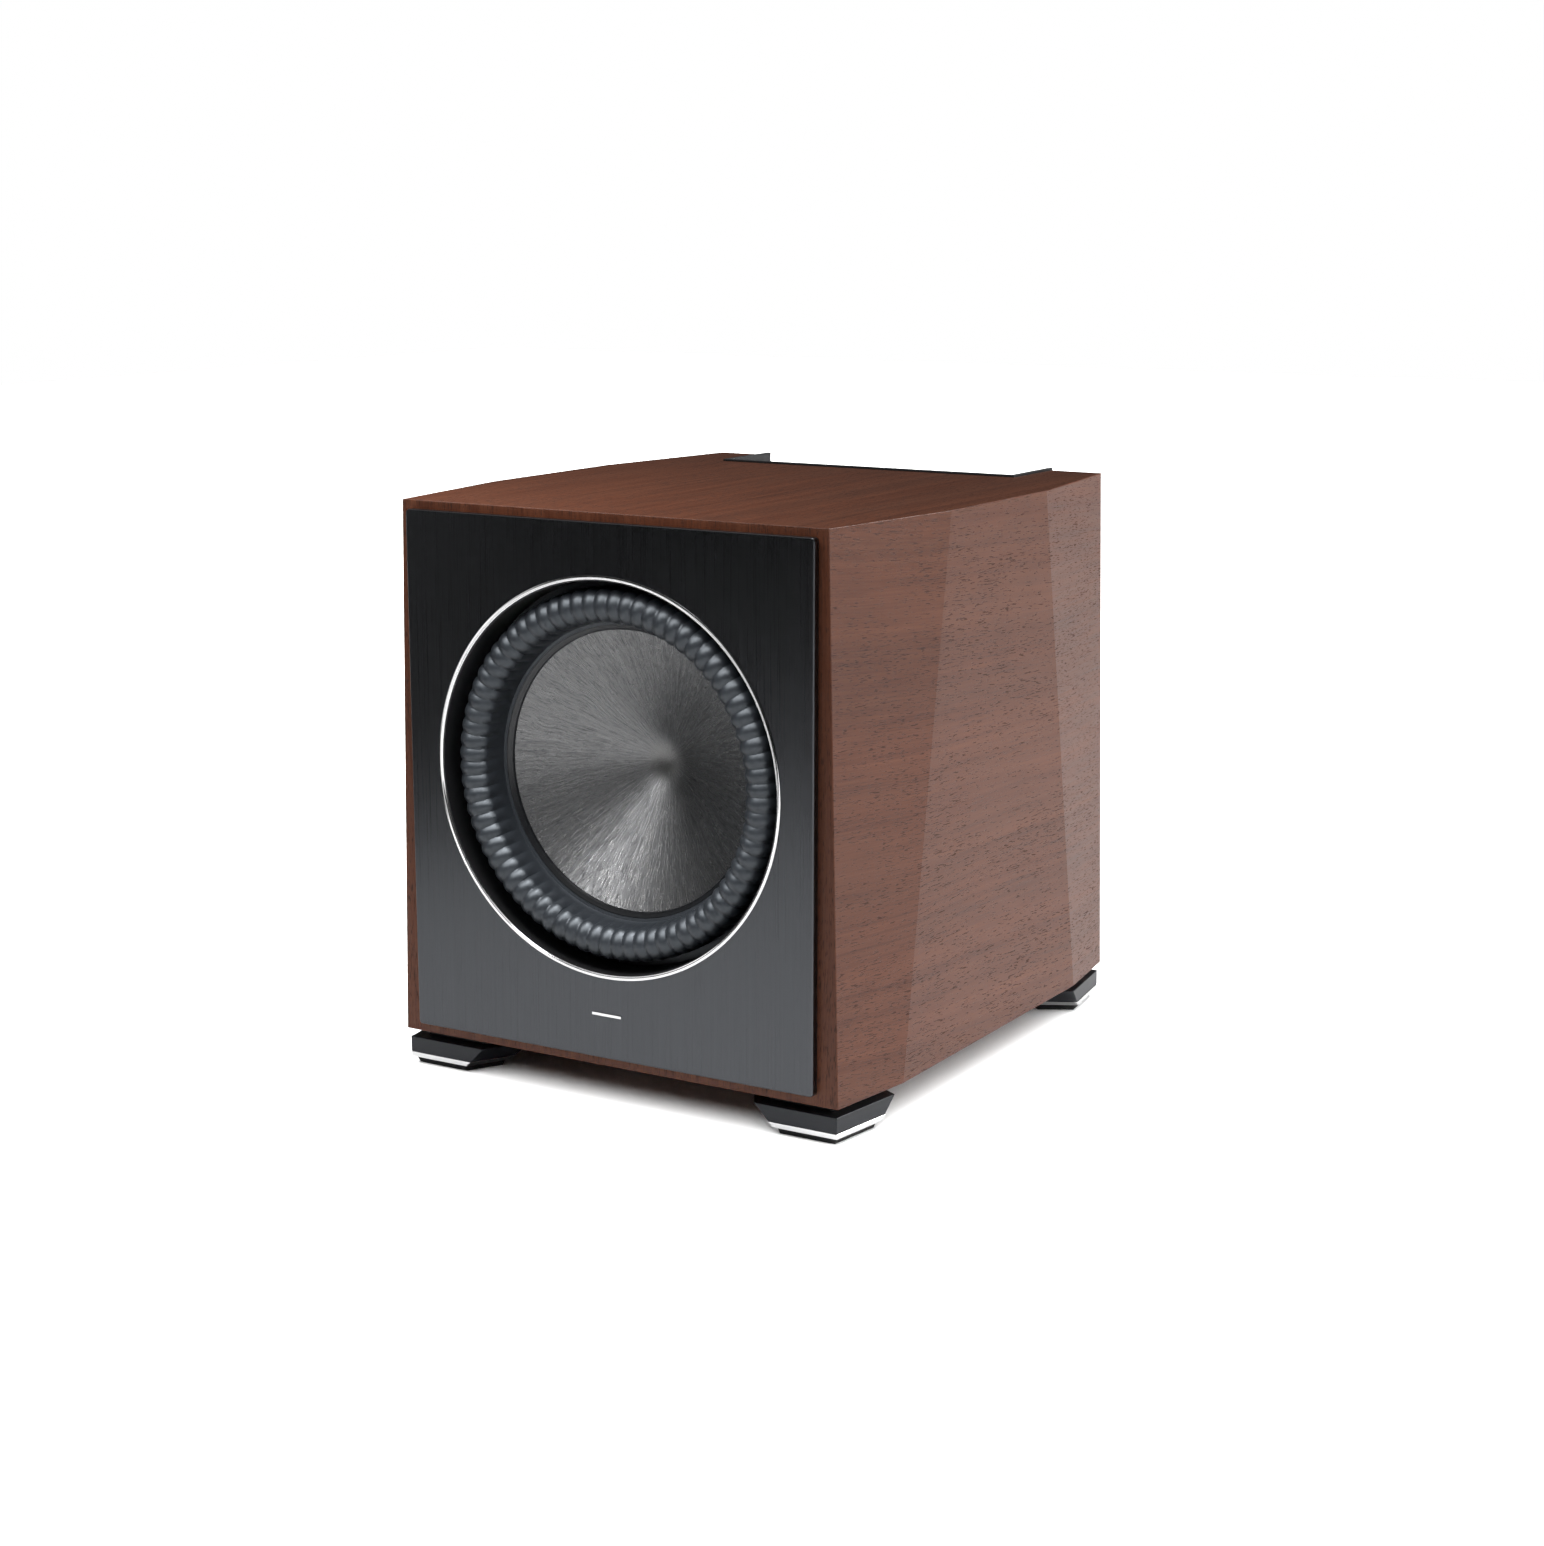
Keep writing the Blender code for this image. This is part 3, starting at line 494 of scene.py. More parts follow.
def wound(name, dark, light, pitch, axis, metallic):
    """Turns of wire or tape laid side by side."""
    r = Recipe(name, Metallic=metallic, Roughness=0.3)
    turns = r.maths("SINE", r.maths("MULTIPLY", r.axis[axis], 2 * math.pi / pitch))
    turns = r.steps(turns, -1.0, 1.0)
    stain = r.noise(r.position, (90.0, 90.0, 90.0), 2.0)
    tone = r.maths("ADD", r.maths("MULTIPLY", turns, 0.7), r.maths("MULTIPLY", stain, 0.3))
    r.set("Base Color", r.ramp(tone, (0.1, dark), (0.8, light)))
    r.set("Normal", r.bump(turns, 0.6, 0.0003))
    return r.look


def circuit_board():
    """Green laminate with copper tracks under the mask."""
    r = Recipe("circuit_board_green", Roughness=0.35, Coat_Weight=0.4)
    cells = r.add("TexVoronoi", {"Vector": r.position, "Scale": 85.0}, distance="MANHATTAN")
    stripes = r.maths("FRACT", r.maths("MULTIPLY", cells.outputs["Distance"], 5.0))
    tracks = r.maths("GREATER_THAN", stripes, 0.55)
    r.set("Base Color", r.mix(tracks, (0.010, 0.065, 0.028), (0.030, 0.150, 0.060)))
    r.set("Normal", r.bump(tracks, 0.3, 0.0001))
    return r.look


def raw_board():
    """Unfinished fibreboard."""
    r = Recipe("raw_board", Roughness=0.85)
    fibres = r.noise(r.position, (700.0, 700.0, 700.0), 4.0, 0.7)
    r.set("Base Color", r.ramp(fibres, (0.3, (0.20, 0.125, 0.070)), (0.7, (0.40, 0.280, 0.170))))
    r.set("Normal", r.bump(fibres, 0.4, 0.0004))
    return r.look


WALNUT_SIDE = veneer("walnut_side", "y", "z", (3.0, 11.0, 2.0), tilt=0.06)
WALNUT_TOP = veneer("walnut_top", "y", "x", (8.0, 4.0, 6.0))
WALNUT_FRONT = veneer("walnut_front", "z", "x", (1.0, 9.0, 5.0))
BRUSHED = brushed_metal()
POLISHED = polished()
CONE_FIBRE = cone_fibre()
RAW_BOARD = raw_board()
BOARD_GREEN = circuit_board()
RUBBER = moulded(
    "surround_rubber",
    (0.0100, 0.0118, 0.0145),
    (0.0130, 0.0152, 0.0185),
    (0.37, 0.43),
    1400.0,
    0.05,
    IOR=1.60,
    Specular_Tint=(0.86, 0.93, 1.0, 1.0),
)
TRIM = moulded("dark_trim", (0.016, 0.018, 0.021), (0.022, 0.024, 0.028), (0.34, 0.42), 1200.0, 0.05)
CAST = moulded("cast_frame", (0.010, 0.010, 0.011), (0.020, 0.020, 0.022), (0.45, 0.60), 700.0, 0.3)
GRAPHITE = moulded(
    "graphite_casting", (0.019, 0.0205, 0.025), (0.027, 0.029, 0.034), (0.34, 0.44), 1600.0, 0.10, 0.4
)
FOOT_RUBBER = moulded("foot_rubber", (0.009, 0.009, 0.009), (0.018, 0.018, 0.018), (0.70, 0.85), 800.0, 0.4)
PLASTIC = moulded("black_plastic", (0.010, 0.010, 0.011), (0.018, 0.018, 0.020), (0.38, 0.52), 1300.0, 0.25)
ALLOY = moulded(
    "black_anodised_alloy", (0.016, 0.016, 0.018), (0.028, 0.028, 0.031), (0.32, 0.44), 1500.0, 0.15, 0.7
)
NICKEL = moulded("nickel_plate", (0.62, 0.60, 0.55), (0.74, 0.72, 0.67), (0.14, 0.24), 500.0, 0.03, 1.0)
STEEL = moulded("plated_steel", (0.44, 0.44, 0.42), (0.60, 0.60, 0.58), (0.25, 0.42), 600.0, 0.1, 1.0)
FERRITE = moulded("ferrite", (0.030, 0.030, 0.032), (0.060, 0.060, 0.063), (0.50, 0.70), 900.0, 0.4)
TAPE = wound("transformer_tape", (0.06, 0.055, 0.02), (0.16, 0.14, 0.06), 0.010, "z", 0.0)
COPPER = wound("copper_wire", (0.35, 0.12, 0.05), (0.80, 0.36, 0.17), 0.0008, "y", 1.0)
CLOTH = woven("spider_cloth", (0.30, 0.17, 0.03), (0.60, 0.38, 0.11), 0.0009)
SLEEVE = moulded("capacitor_sleeve", (0.014, 0.020, 0.060), (0.022, 0.032, 0.090), (0.22, 0.34))
RED = moulded("red_insulation", (0.38, 0.012, 0.012), (0.55, 0.025, 0.020), (0.35, 0.45))
MARKING = moulded(
    "panel_marking", (0.62, 0.62, 0.62), (0.74, 0.74, 0.74), (0.45, 0.55), slot="black_anodised_alloy"
)

LOOKS = {
    look[1]: look
    for look in (
        WALNUT_SIDE,
        RAW_BOARD,
        BRUSHED,
        POLISHED,
        CAST,
        CONE_FIBRE,
        RUBBER,
        TRIM,
        COPPER,
        CLOTH,
        STEEL,
        FERRITE,
        GRAPHITE,
        FOOT_RUBBER,
        PLASTIC,
        ALLOY,
        BOARD_GREEN,
        TAPE,
        SLEEVE,
        NICKEL,
        RED,
    )
}


def repaint_frame():
    """Gives every CAD node the finish of its slot."""
    for part in frame["record"]["subparts"]:
        node = frame["nodes"][part["node"]]
        node.data.materials.clear()
        node.data.materials.append(LOOKS[part["material_slot"]][0])


# ---------------------------------------------------------------- cabinet


def side_outline(height):
    """The right-hand side in plan at one height, from the front edge to the back edge."""
    share = height / HEIGHT
    front = blend(FRONT_HALF_WIDTH, share)
    back = blend(BACK_HALF_WIDTH, share)
    front_crease = (MIDDLE_HALF_WIDTH - front) / FACET_SLOPE
    back_crease = DEPTH - (MIDDLE_HALF_WIDTH - back) / FACET_SLOPE
    return [(front, 0), (MIDDLE_HALF_WIDTH, front_crease), (MIDDLE_HALF_WIDTH, back_crease), (back, DEPTH)]


def inset_outline(height, inset):
    """The side outline with its two ends moved along their facets by the inset."""
    outline = side_outline(height)
    (x0, y0), (x3, y3) = outline[0], outline[3]
    outline[0] = (x0 + inset * FACET_SLOPE, y0 + inset)
    outline[3] = (x3 + inset * FACET_SLOPE, y3 - inset)
    return outline


def edge_levels():
    """Pairs of inset and sink that round a panel's half of a mitred edge, then follow the mitre."""
    levels = []
    for turn in (0, 15, 30, 45):
        a = math.radians(turn)
        levels.append((EDGE_RADIUS * (1 - math.sin(a)), EDGE_RADIUS * (1 - math.cos(a))))
    return levels + [(WALL, WALL)]


def side_loop(side, inset, sink):
    """A side panel's outline, shrunk by the inset and sunk into the wood. side is 1 or -1."""
    low = [place(side * (x - sink), y, inset) for x, y in inset_outline(inset, inset)]
    high = [place(side * (x - sink), y, HEIGHT - inset) for x, y in inset_outline(HEIGHT - inset, inset)]
    return low + high[::-1]


def flat_loop(at_top, inset, sink):
    """The same for the top or the bottom panel."""
    height = HEIGHT - sink if at_top else sink
    outline = inset_outline(HEIGHT if at_top else 0, inset)
    left = [place(-(x - inset), y, height) for x, y in outline]
    right = [place(x - inset, y, height) for x, y in outline]
    return left + right[::-1]


def end_loop(widths, depth, inset):
    """The same for the front or the back panel, at a depth behind the wooden front."""
    low = blend(widths, inset / HEIGHT) + (FACET_SLOPE - 1) * inset
    high = blend(widths, 1 - inset / HEIGHT) + (FACET_SLOPE - 1) * inset
    return [
        place(-low, depth, inset),
        place(low, depth, inset),
        place(high, depth, HEIGHT - inset),
        place(-high, depth, HEIGHT - inset),
    ]


def strip_faces(shape, loop):
    """Closes a loop of low points followed by reversed high points with one face for each facet."""
    half = len(loop) // 2
    for i in range(half - 1):
        shape.faces.new((loop[i], loop[i + 1], loop[-2 - i], loop[-1 - i]))


def mitred_shape(loops):
    """A panel from its outer outline, around its rounded edge and down the mitre to its inner face."""
    shape = bmesh.new()
    made = [add_loop(shape, points) for points in loops]
    for first, second in zip(made, made[1:]):
        ring_of_faces(shape, first, second)
    strip_faces(shape, made[0])
    strip_faces(shape, made[-1])
    return shape


def carve(made, low, high):
    """Cuts a box out of a piece for good."""
    shape = bmesh.new()
    block(shape, low, high)
    mesh = bpy.data.meshes.new("carving")
    shape.to_mesh(mesh)
    shape.free()
    cutter = bpy.data.objects.new("carving", mesh)
    bpy.context.scene.collection.objects.link(cutter)
    step = made.modifiers.new("carve", "BOOLEAN")
    step.operation = "DIFFERENCE"
    step.solver = "EXACT"
    step.object = cutter
    bpy.context.view_layer.update()
    graph = bpy.context.evaluated_depsgraph_get()
    carved = bpy.data.meshes.new_from_object(made.evaluated_get(graph))
    made.modifiers.clear()
    made.data = carved
    bpy.data.objects.remove(cutter)


def cabinet():
    """The six veneered panels. Returns the top and the front."""
    levels = edge_levels()
    for side, word in ((1, "right"), (-1, "left")):
        shape = mitred_shape([side_loop(side, *level) for level in levels])
        piece(f"{word}_side_veneered", shape, WALNUT_SIDE, "cabinet", (f"{word}_side_panel",))
    shape = mitred_shape([flat_loop(False, *level) for level in levels])
    piece("bottom_veneered", shape, WALNUT_TOP, "cabinet", ("bottom_panel",))
    shape = mitred_shape([flat_loop(True, *level) for level in levels])
    top = piece("top_veneered", shape, WALNUT_TOP, "cabinet", ("top_panel",))
    shape = mitred_shape([end_loop(BACK_HALF_WIDTH, DEPTH - sink, inset) for inset, sink in levels])
    back = piece("back_veneered", shape, WALNUT_FRONT, "cabinet", ("back_panel",))
    notch_low = (-NOTCH_HALF_WIDTH, FRONT + NOTCH_DEPTH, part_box("amp_housing")[0].z + HOUSING_FLANGE)
    notch_high = (NOTCH_HALF_WIDTH, BACK + CUT_MARGIN, TOP + CUT_MARGIN)
    carve(top, notch_low, notch_high)
    carve(back, notch_low, notch_high)
    return top, front_board(levels)


def front_board(levels):
    """The veneered front, with the stepped round hole that the driver sits in."""
    shape = bmesh.new()
    loops = [add_loop(shape, end_loop(FRONT_HALF_WIDTH, sink, inset)) for inset, sink in levels]
    loops.append(add_loop(shape, end_loop(FRONT_HALF_WIDTH, FRONT_WALL, WALL)))
    for first, second in zip(loops, loops[1:]):
        ring_of_faces(shape, first, second)
    rebate = ((REBATE_RADIUS, 0), (REBATE_RADIUS, REBATE_DEPTH))
    hole = round_hole(shape, (*rebate, (DRIVER_HOLE, REBATE_DEPTH), (DRIVER_HOLE, FRONT_WALL)), 128)
    span(shape, loops[0], hole[0])
    span(shape, loops[-1], hole[-1])
    return piece("front_veneered", shape, WALNUT_FRONT, "cabinet", ("front_panel",))


def round_hole(shape, steps, segments):
    """Adds the wall of a hole around the driver's axis and returns its loops."""
    loops = []
    for radius, depth in steps:
        turns = [2 * math.pi * i / segments for i in range(segments)]
        loops.append(add_loop(shape, [driver_point(radius, depth, turn) for turn in turns]))
    for first, second in zip(loops, loops[1:]):
        ring_of_faces(shape, first, second)
    return loops


def span(shape, outer, inner):
    """Fills the flat stretch between an outline and a hole."""
    edges = []
    for loop in (outer, inner):
        for i in range(len(loop)):
            edges.append(shape.edges.get((loop[i], loop[(i + 1) % len(loop)])))
    bmesh.ops.triangle_fill(shape, edges=edges, use_beauty=True)


def baffle():
    """The brushed plate, with rounded corners, a soft edge and the driver's opening."""
    low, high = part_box("baffle_plate")
    face = low.y
    corner = 0.003
    edge = 0.0011

    def outline(inset, y):
        points = []
        for cx, cz, start in (
            (high.x - corner, low.z + corner, 270),
            (high.x - corner, high.z - corner, 0),
            (low.x + corner, high.z - corner, 90),
            (low.x + corner, low.z + corner, 180),
        ):
            points += [(x, y, z) for x, z in arc((cx, cz), corner - inset, start, start + 90, 6)]
        return points

    shape = bmesh.new()
    levels = [(0, high.y)]
    for turn in (0, 22.5, 45, 67.5, 90):
        a = math.radians(turn)
        levels.append((edge * (1 - math.cos(a)), face + edge * (1 - math.sin(a))))
    loops = [add_loop(shape, outline(*level)) for level in levels]
    for first, second in zip(loops, loops[1:]):
        ring_of_faces(shape, first, second)
    chamfer = 0.0004
    steps = ((PLATE_OPENING, high.y - FRONT), (PLATE_OPENING, face - FRONT + chamfer))
    hole = round_hole(shape, (*steps, (PLATE_OPENING + chamfer, face - FRONT)), 192)
    span(shape, loops[0], hole[0])
    span(shape, loops[-1], hole[-1])
    return flat_broad_faces(piece("baffle_brushed", shape, BRUSHED, "cabinet", ("baffle_plate",), smooth=28))


def trim_ring():
    """The polished ring: a sleeve in the plate's opening and a flange over its edge."""
    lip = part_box("trim_ring")[0].y - FRONT
    bore, sleeve, flange = 0.1595, 0.1599, 0.1628
    section = [(sleeve, -0.0006), (sleeve, -0.0072), (flange - 0.0002, -0.0073), (flange, -0.0075)]
    section += [(flange - 0.0001, lip + 0.00012), (flange - 0.0004, lip), (flange - 0.0020, lip)]
    section += [(flange - 0.0024, lip + 0.00025), (flange - 0.0026, lip + 0.0006), (bore, lip + 0.0009)]
    section.append((bore, -0.0006))
    replaced = ("trim_ring",)
    return turned_piece("trim_ring_polished", section, POLISHED, "cabinet", replaced, segments=240, smooth=25)


def opening_liner():
    """A thin black tube inside the ring, down to the driver's basket."""
    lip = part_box("trim_ring")[0].y - FRONT
    outer, inner, end = 0.1594, 0.1584, 0.0262
    section = [(outer, lip + 0.0011), (inner, lip + 0.0016), (inner, end), (outer, end)]
    turned_piece("opening_liner", section, PLASTIC, "cabinet", (), segments=192, smooth=25)


def badge_bar():
    """A plain polished bar below the driver."""
    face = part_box("baffle_plate")[0].y
    half_width, bottom, top = 0.014, 0.0445, 0.0470
    shape = bmesh.new()
    block(shape, (-half_width, face - 0.0006, BASE + bottom), (half_width, face - 0.00002, BASE + top))
    round_edges(shape, 0.00028)
    piece("badge_bar", shape, POLISHED, "cabinet", smooth=30)


# ---------------------------------------------------------------- driver


def eased(share):
    """A share from 0 to 1 with a soft start and a soft end."""
    share = min(1.0, max(0.0, share))
    return share * share * (3 - 2 * share)


def rib_profile(phase):
    """A rounded ridge with a soft valley at each end. phase runs from 0 to 1 across one rib."""
    across = abs(2 * phase - 1)
    return 0.9 * (1 - across * across) + 0.05 * (1 + math.cos(math.pi * across))


def roll_line():
    """The roll's section, outer foot to inner foot: radius, depth, normal and share of the rib height."""
    line = []
    foot_steps = 6
    for i in range(foot_steps):
        share = i / foot_steps
        depth = blend((ROLL_BASE, CREST[1]), share)
        line.append((CREST[0] + CREST_RADIUS, depth, (1, 0), eased(share / 0.6)))
    lean = 18.0
    arc_steps = 26
    for i in range(arc_steps + 1):
        turn = math.radians((180 - lean) * i / arc_steps)
        normal = (math.cos(turn), -math.sin(turn))
        line.append((CREST[0] + CREST_RADIUS * normal[0], CREST[1] + CREST_RADIUS * normal[1], normal, 1))
    radius, depth, normal, _ = line[-1]
    slope_steps = 12
    for i in range(1, slope_steps + 1):
        along = i / slope_steps
        point = (blend((radius, ROLL_FOOT[0]), along), blend((depth, ROLL_FOOT[1]), along))
        line.append((*point, normal, 1 - eased(along / 0.92)))
    return line


def surround_section(rib):
    """Front line of the roll's section, with its valleys sunk between the ribs."""
    points = [(SURROUND_OUTER, ROLL_BASE), (SURROUND_OUTER - 0.0030, ROLL_BASE - 0.0002)]
    for radius, depth, normal, share in roll_line():
        sink = RIB_HEIGHT * (1 - rib) * share
        points.append((radius - sink * normal[0], depth - sink * normal[1]))
    points.append((SURROUND_INNER, ROLL_BASE + 0.0022))
    return points


def surround_back():
    """Back line of the roll's section, from its inner edge to its outer edge."""
    points = [(SURROUND_INNER, ROLL_BASE + 0.0040), (SURROUND_INNER + 0.0040, ROLL_BASE + 0.0035)]
    inside = CREST_RADIUS - 0.0045
    points += arc(CREST, inside, -156, 0, 8)
    points.append((CREST[0] + inside, ROLL_BASE + 0.0018))
    points.append((SURROUND_OUTER, ROLL_BASE + 0.0018))
    return points


def stretched_ring(node, look, sectors, cuts, section_at):
    """A flexible ring in closed sectors, each one a separate piece."""
    pieces = []
    for sector in range(sectors):
        shape = bmesh.new()
        loops = []
        for i in range(cuts + 1):
            turn = 2 * math.pi * (sector + i / cuts) / sectors
            loops.append(add_loop(shape, [driver_point(*point, turn) for point in section_at(i)]))
        for first, second in zip(loops, loops[1:]):
            ring_of_faces(shape, first, second)
        shape.faces.new(loops[0])
        shape.faces.new(loops[-1])
        made = piece(f"{node}_sector_{sector + 1}", shape, look, None, smooth=60)
        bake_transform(made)
        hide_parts(node)
        pieces.append(made)
    return pieces


def surround():
    """The half roll, cut in the valleys between its ribs."""
    cuts_per_rib = 12
    back = surround_back()

    def section_at(cut):
        return surround_section(rib_profile((cut / cuts_per_rib) % 1)) + back

    sectors = RIBS // RIBS_PER_SECTOR
    cuts = RIBS_PER_SECTOR * cuts_per_rib
    return stretched_ring(
        "surround", RUBBER, sectors, cuts, section_at
    )


def spider():
    """The corrugated cloth disc that centres the coil."""
    low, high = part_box("coil_former")
    inner, outer, clamp = 0.0415, 0.0795, 0.0880
    level, swing, skin = 0.102, 0.0028, 0.0004
    waves, steps = 4, 48
    line = [((high.x - low.x) / 2 + 0.0002, level)]
    for i in range(steps + 1):
        along = i / steps
        line.append((blend((inner, outer), along), level + swing * math.sin(2 * math.pi * waves * along)))
    line.append((clamp, level))
    section = [(radius, depth - skin) for radius, depth in line]
    section += [(radius, depth + skin) for radius, depth in reversed(line)]
    sectors, cuts = 16, 6
    stretched_ring("spider", CLOTH, sectors, cuts, lambda cut: section)


def cone_depth(radius):
    """The cone's front: straight flanks and a rounded middle."""
    if radius >= CONE_CAP:
        return CONE_EDGE_DEPTH + (CONE_RADIUS - radius) * CONE_SLOPE
    edge = CONE_EDGE_DEPTH + (CONE_RADIUS - CONE_CAP) * CONE_SLOPE
    return edge + CONE_SLOPE * (CONE_CAP * CONE_CAP - radius * radius) / (2 * CONE_CAP)


def cone():
    """The fibre shell and the dark ring at its edge. Returns the shell."""
    rings = 44
    radii = [CONE_RADIUS * (1 - i / rings) for i in range(rings + 1)]
    section = [(radius, cone_depth(radius)) for radius in radii]
    section += [(radius, cone_depth(radius) + CONE_THICKNESS) for radius in (0, CONE_CAP, CONE_RADIUS)]
    body = "cone_assembly"
    shell = turned_piece("cone_fibre_shell", section, CONE_FIBRE, body, ("cone",), segments=180, smooth=40)

    ring = [
        (0.1196, 0.0273),
        (0.1193, 0.0270),
        (0.1186, 0.0272),
        (0.1183, 0.0276),
        (0.1176, 0.0280),
        (0.1162, 0.0291),
        (0.1160, 0.0289),
        (0.1155, 0.0292),
        (0.1151, 0.0300),
        (0.1152, 0.0318),
        (0.1196, 0.0290),
    ]
    turned_piece("cone_edge_trim", ring, TRIM, body, ("cone_edge_ring",), segments=240, smooth=50)
    return shell


# ---------------------------------------------------------------- feet


def feet():
    """Each foot's four layers, with the width of the rounding on their edges."""
    layers = (
        ("spacer", PLASTIC, 0.0003),
        ("body", GRAPHITE, 0.0007),
        ("plate", POLISHED, 0.0004),
        ("pad", FOOT_RUBBER, 0.0008),
    )
    for corner in ("front_right", "front_left", "back_right", "back_left"):
        for layer, look, width in layers:
            softened(f"foot_{layer}_{corner}", width, look, segments=3)


# ---------------------------------------------------------------- rear


def screws(name, spots, face, radius, look):
    """Pan heads with a round socket, their axes along Y, on a face that looks backwards."""
    shape = bmesh.new()
    rim = radius * 0.20
    top = radius * 0.58
    socket = radius * 0.36
    segments = 24
    profile = [(0, -0.0002), (radius, -0.0002), (radius, rim)]
    for turn in (20, 40, 60, 75):
        a = math.radians(turn)
        profile.append((radius * (0.45 + 0.55 * math.cos(a)), rim + (top - rim) * math.sin(a)))
    profile += [(socket, top), (socket, top * 0.45), (0, top * 0.45)]
    for x, z in spots:
        revolve(shape, profile, segments, (x, face, z), closed=False)
    piece(name, shape, look, "cabinet", smooth=35)


def hex_nut(name, x, z, across, hole, low, high, look):
    """A nut around a shaft along Y: flat sides, a turned chamfer and a hole."""
    shape = bmesh.new()
    side = math.pi / 3
    points = 48
    turns = [2 * math.pi * i / points for i in range(points)]
    flat = across / 2
    corner = flat * 1.12
    chamfer = 0.0004
    loops = []
    outlines = ((flat, corner, low), (flat, corner, high - chamfer), (flat - chamfer, corner - chamfer, high))
    for reach, furthest, depth in outlines:
        radii = [min(reach / math.cos(turn % side - side / 2), furthest) for turn in turns]
        loops.append(turned_loop(shape, x, z, depth, radii))
    for depth in (high, low):
        loops.append(turned_loop(shape, x, z, depth, [hole] * points))
    for first, second in zip(loops, loops[1:] + loops[:1]):
        ring_of_faces(shape, first, second)
    piece(name, shape, look, "cabinet", smooth=28)


def turned_loop(shape, x, z, y, radii):
    """A loop around a line along Y, with a radius for each of its evenly spaced points."""
    points = []
    for i, radius in enumerate(radii):
        turn = 2 * math.pi * i / len(radii)
        points.append((x + radius * math.cos(turn), y, z + radius * math.sin(turn)))
    return add_loop(shape, points)


def knob(node):
    """A fluted knob on its spindle, with a pointer line on the face."""
    low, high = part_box(node)
    x = (low.x + high.x) / 2
    z = (low.z + high.z) / 2
    radius = (high.x - low.x) / 2
    spindle = 0.003
    flutes, points_per_flute = 28, 6
    flute_depth = 0.00045
    back, front = PANEL_FACE + 0.0009, high.y
    profile = [(spindle, low.y, 0), (spindle, back, 0), (radius - 0.0012, back, 0)]
    profile += [(radius - 0.0006, back + 0.0004, 0), (radius - 0.0006, back + 0.0012, 0)]
    profile += [(radius, back + 0.0018, 1), (radius - 0.0001, front - 0.0018, 1)]
    profile += [(radius - 0.0006, front - 0.0008, 0.6), (radius - 0.0014, front - 0.0002, 0.1)]
    profile += [(radius - 0.0021, front, 0), (radius - 0.0026, front - 0.0003, 0)]
    shape = bmesh.new()
    loops = []
    points = flutes * points_per_flute
    waves = [0.5 + 0.5 * math.cos(2 * math.pi * i / points_per_flute) for i in range(points)]
    for reach, y, share in profile:
        radii = [reach - flute_depth * share * wave for wave in waves]
        loops.append(turned_loop(shape, x, z, y, radii))
    for first, second in zip(loops, loops[1:]):
        ring_of_faces(shape, first, second)
    shape.faces.new(loops[0])
    shape.faces.new(loops[-1])
    piece(node + "_fluted", shape, PLASTIC, node, (node,), smooth=38)

    pointer = bmesh.new()
    face = front - 0.0003
    block(pointer, (x - 0.0005, face - 0.0002, z + 0.0018), (x + 0.0005, face + 0.00015, z + radius - 0.0030))
    piece(node + "_pointer", pointer, MARKING, node)


def dial(node):
    """Short printed lines on the panel around a knob; the two ends and the middle are longer."""
    low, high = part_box(node)
    x = (low.x + high.x) / 2
    z = (low.z + high.z) / 2
    near, far, far_end = 0.0118, 0.0138, 0.0150
    half_width = 0.00028
    shape = bmesh.new()
    for i in range(DIAL_MARKS):
        turn = math.radians(90 - DIAL_RANGE + 2 * DIAL_RANGE * i / (DIAL_MARKS - 1))
        end = far_end if i in (0, DIAL_MARKS // 2, DIAL_MARKS - 1) else far
        along = (math.cos(turn), math.sin(turn))
        loops = []
        for y in (PANEL_FACE - 0.0001, PANEL_FACE + 0.00008):
            corners = []
            for reach, side in ((near, -1), (end, -1), (end, 1), (near, 1)):
                across = side * half_width
                right = reach * along[0] - across * along[1]
                up = reach * along[1] + across * along[0]
                corners.append((x + right, y, z + up))
            loops.append(add_loop(shape, corners))
        ring_of_faces(shape, *loops)
        for loop in loops:
            shape.faces.new(loop)
    piece(node.replace("_knob", "_dial_marks"), shape, MARKING, "cabinet")


def screw_spots(half_width, rows, bottom, columns):
    """Places down both sides and along the bottom."""
    return [(side * half_width, z) for side in (-1, 1) for z in rows] + [(x, bottom) for x in columns]


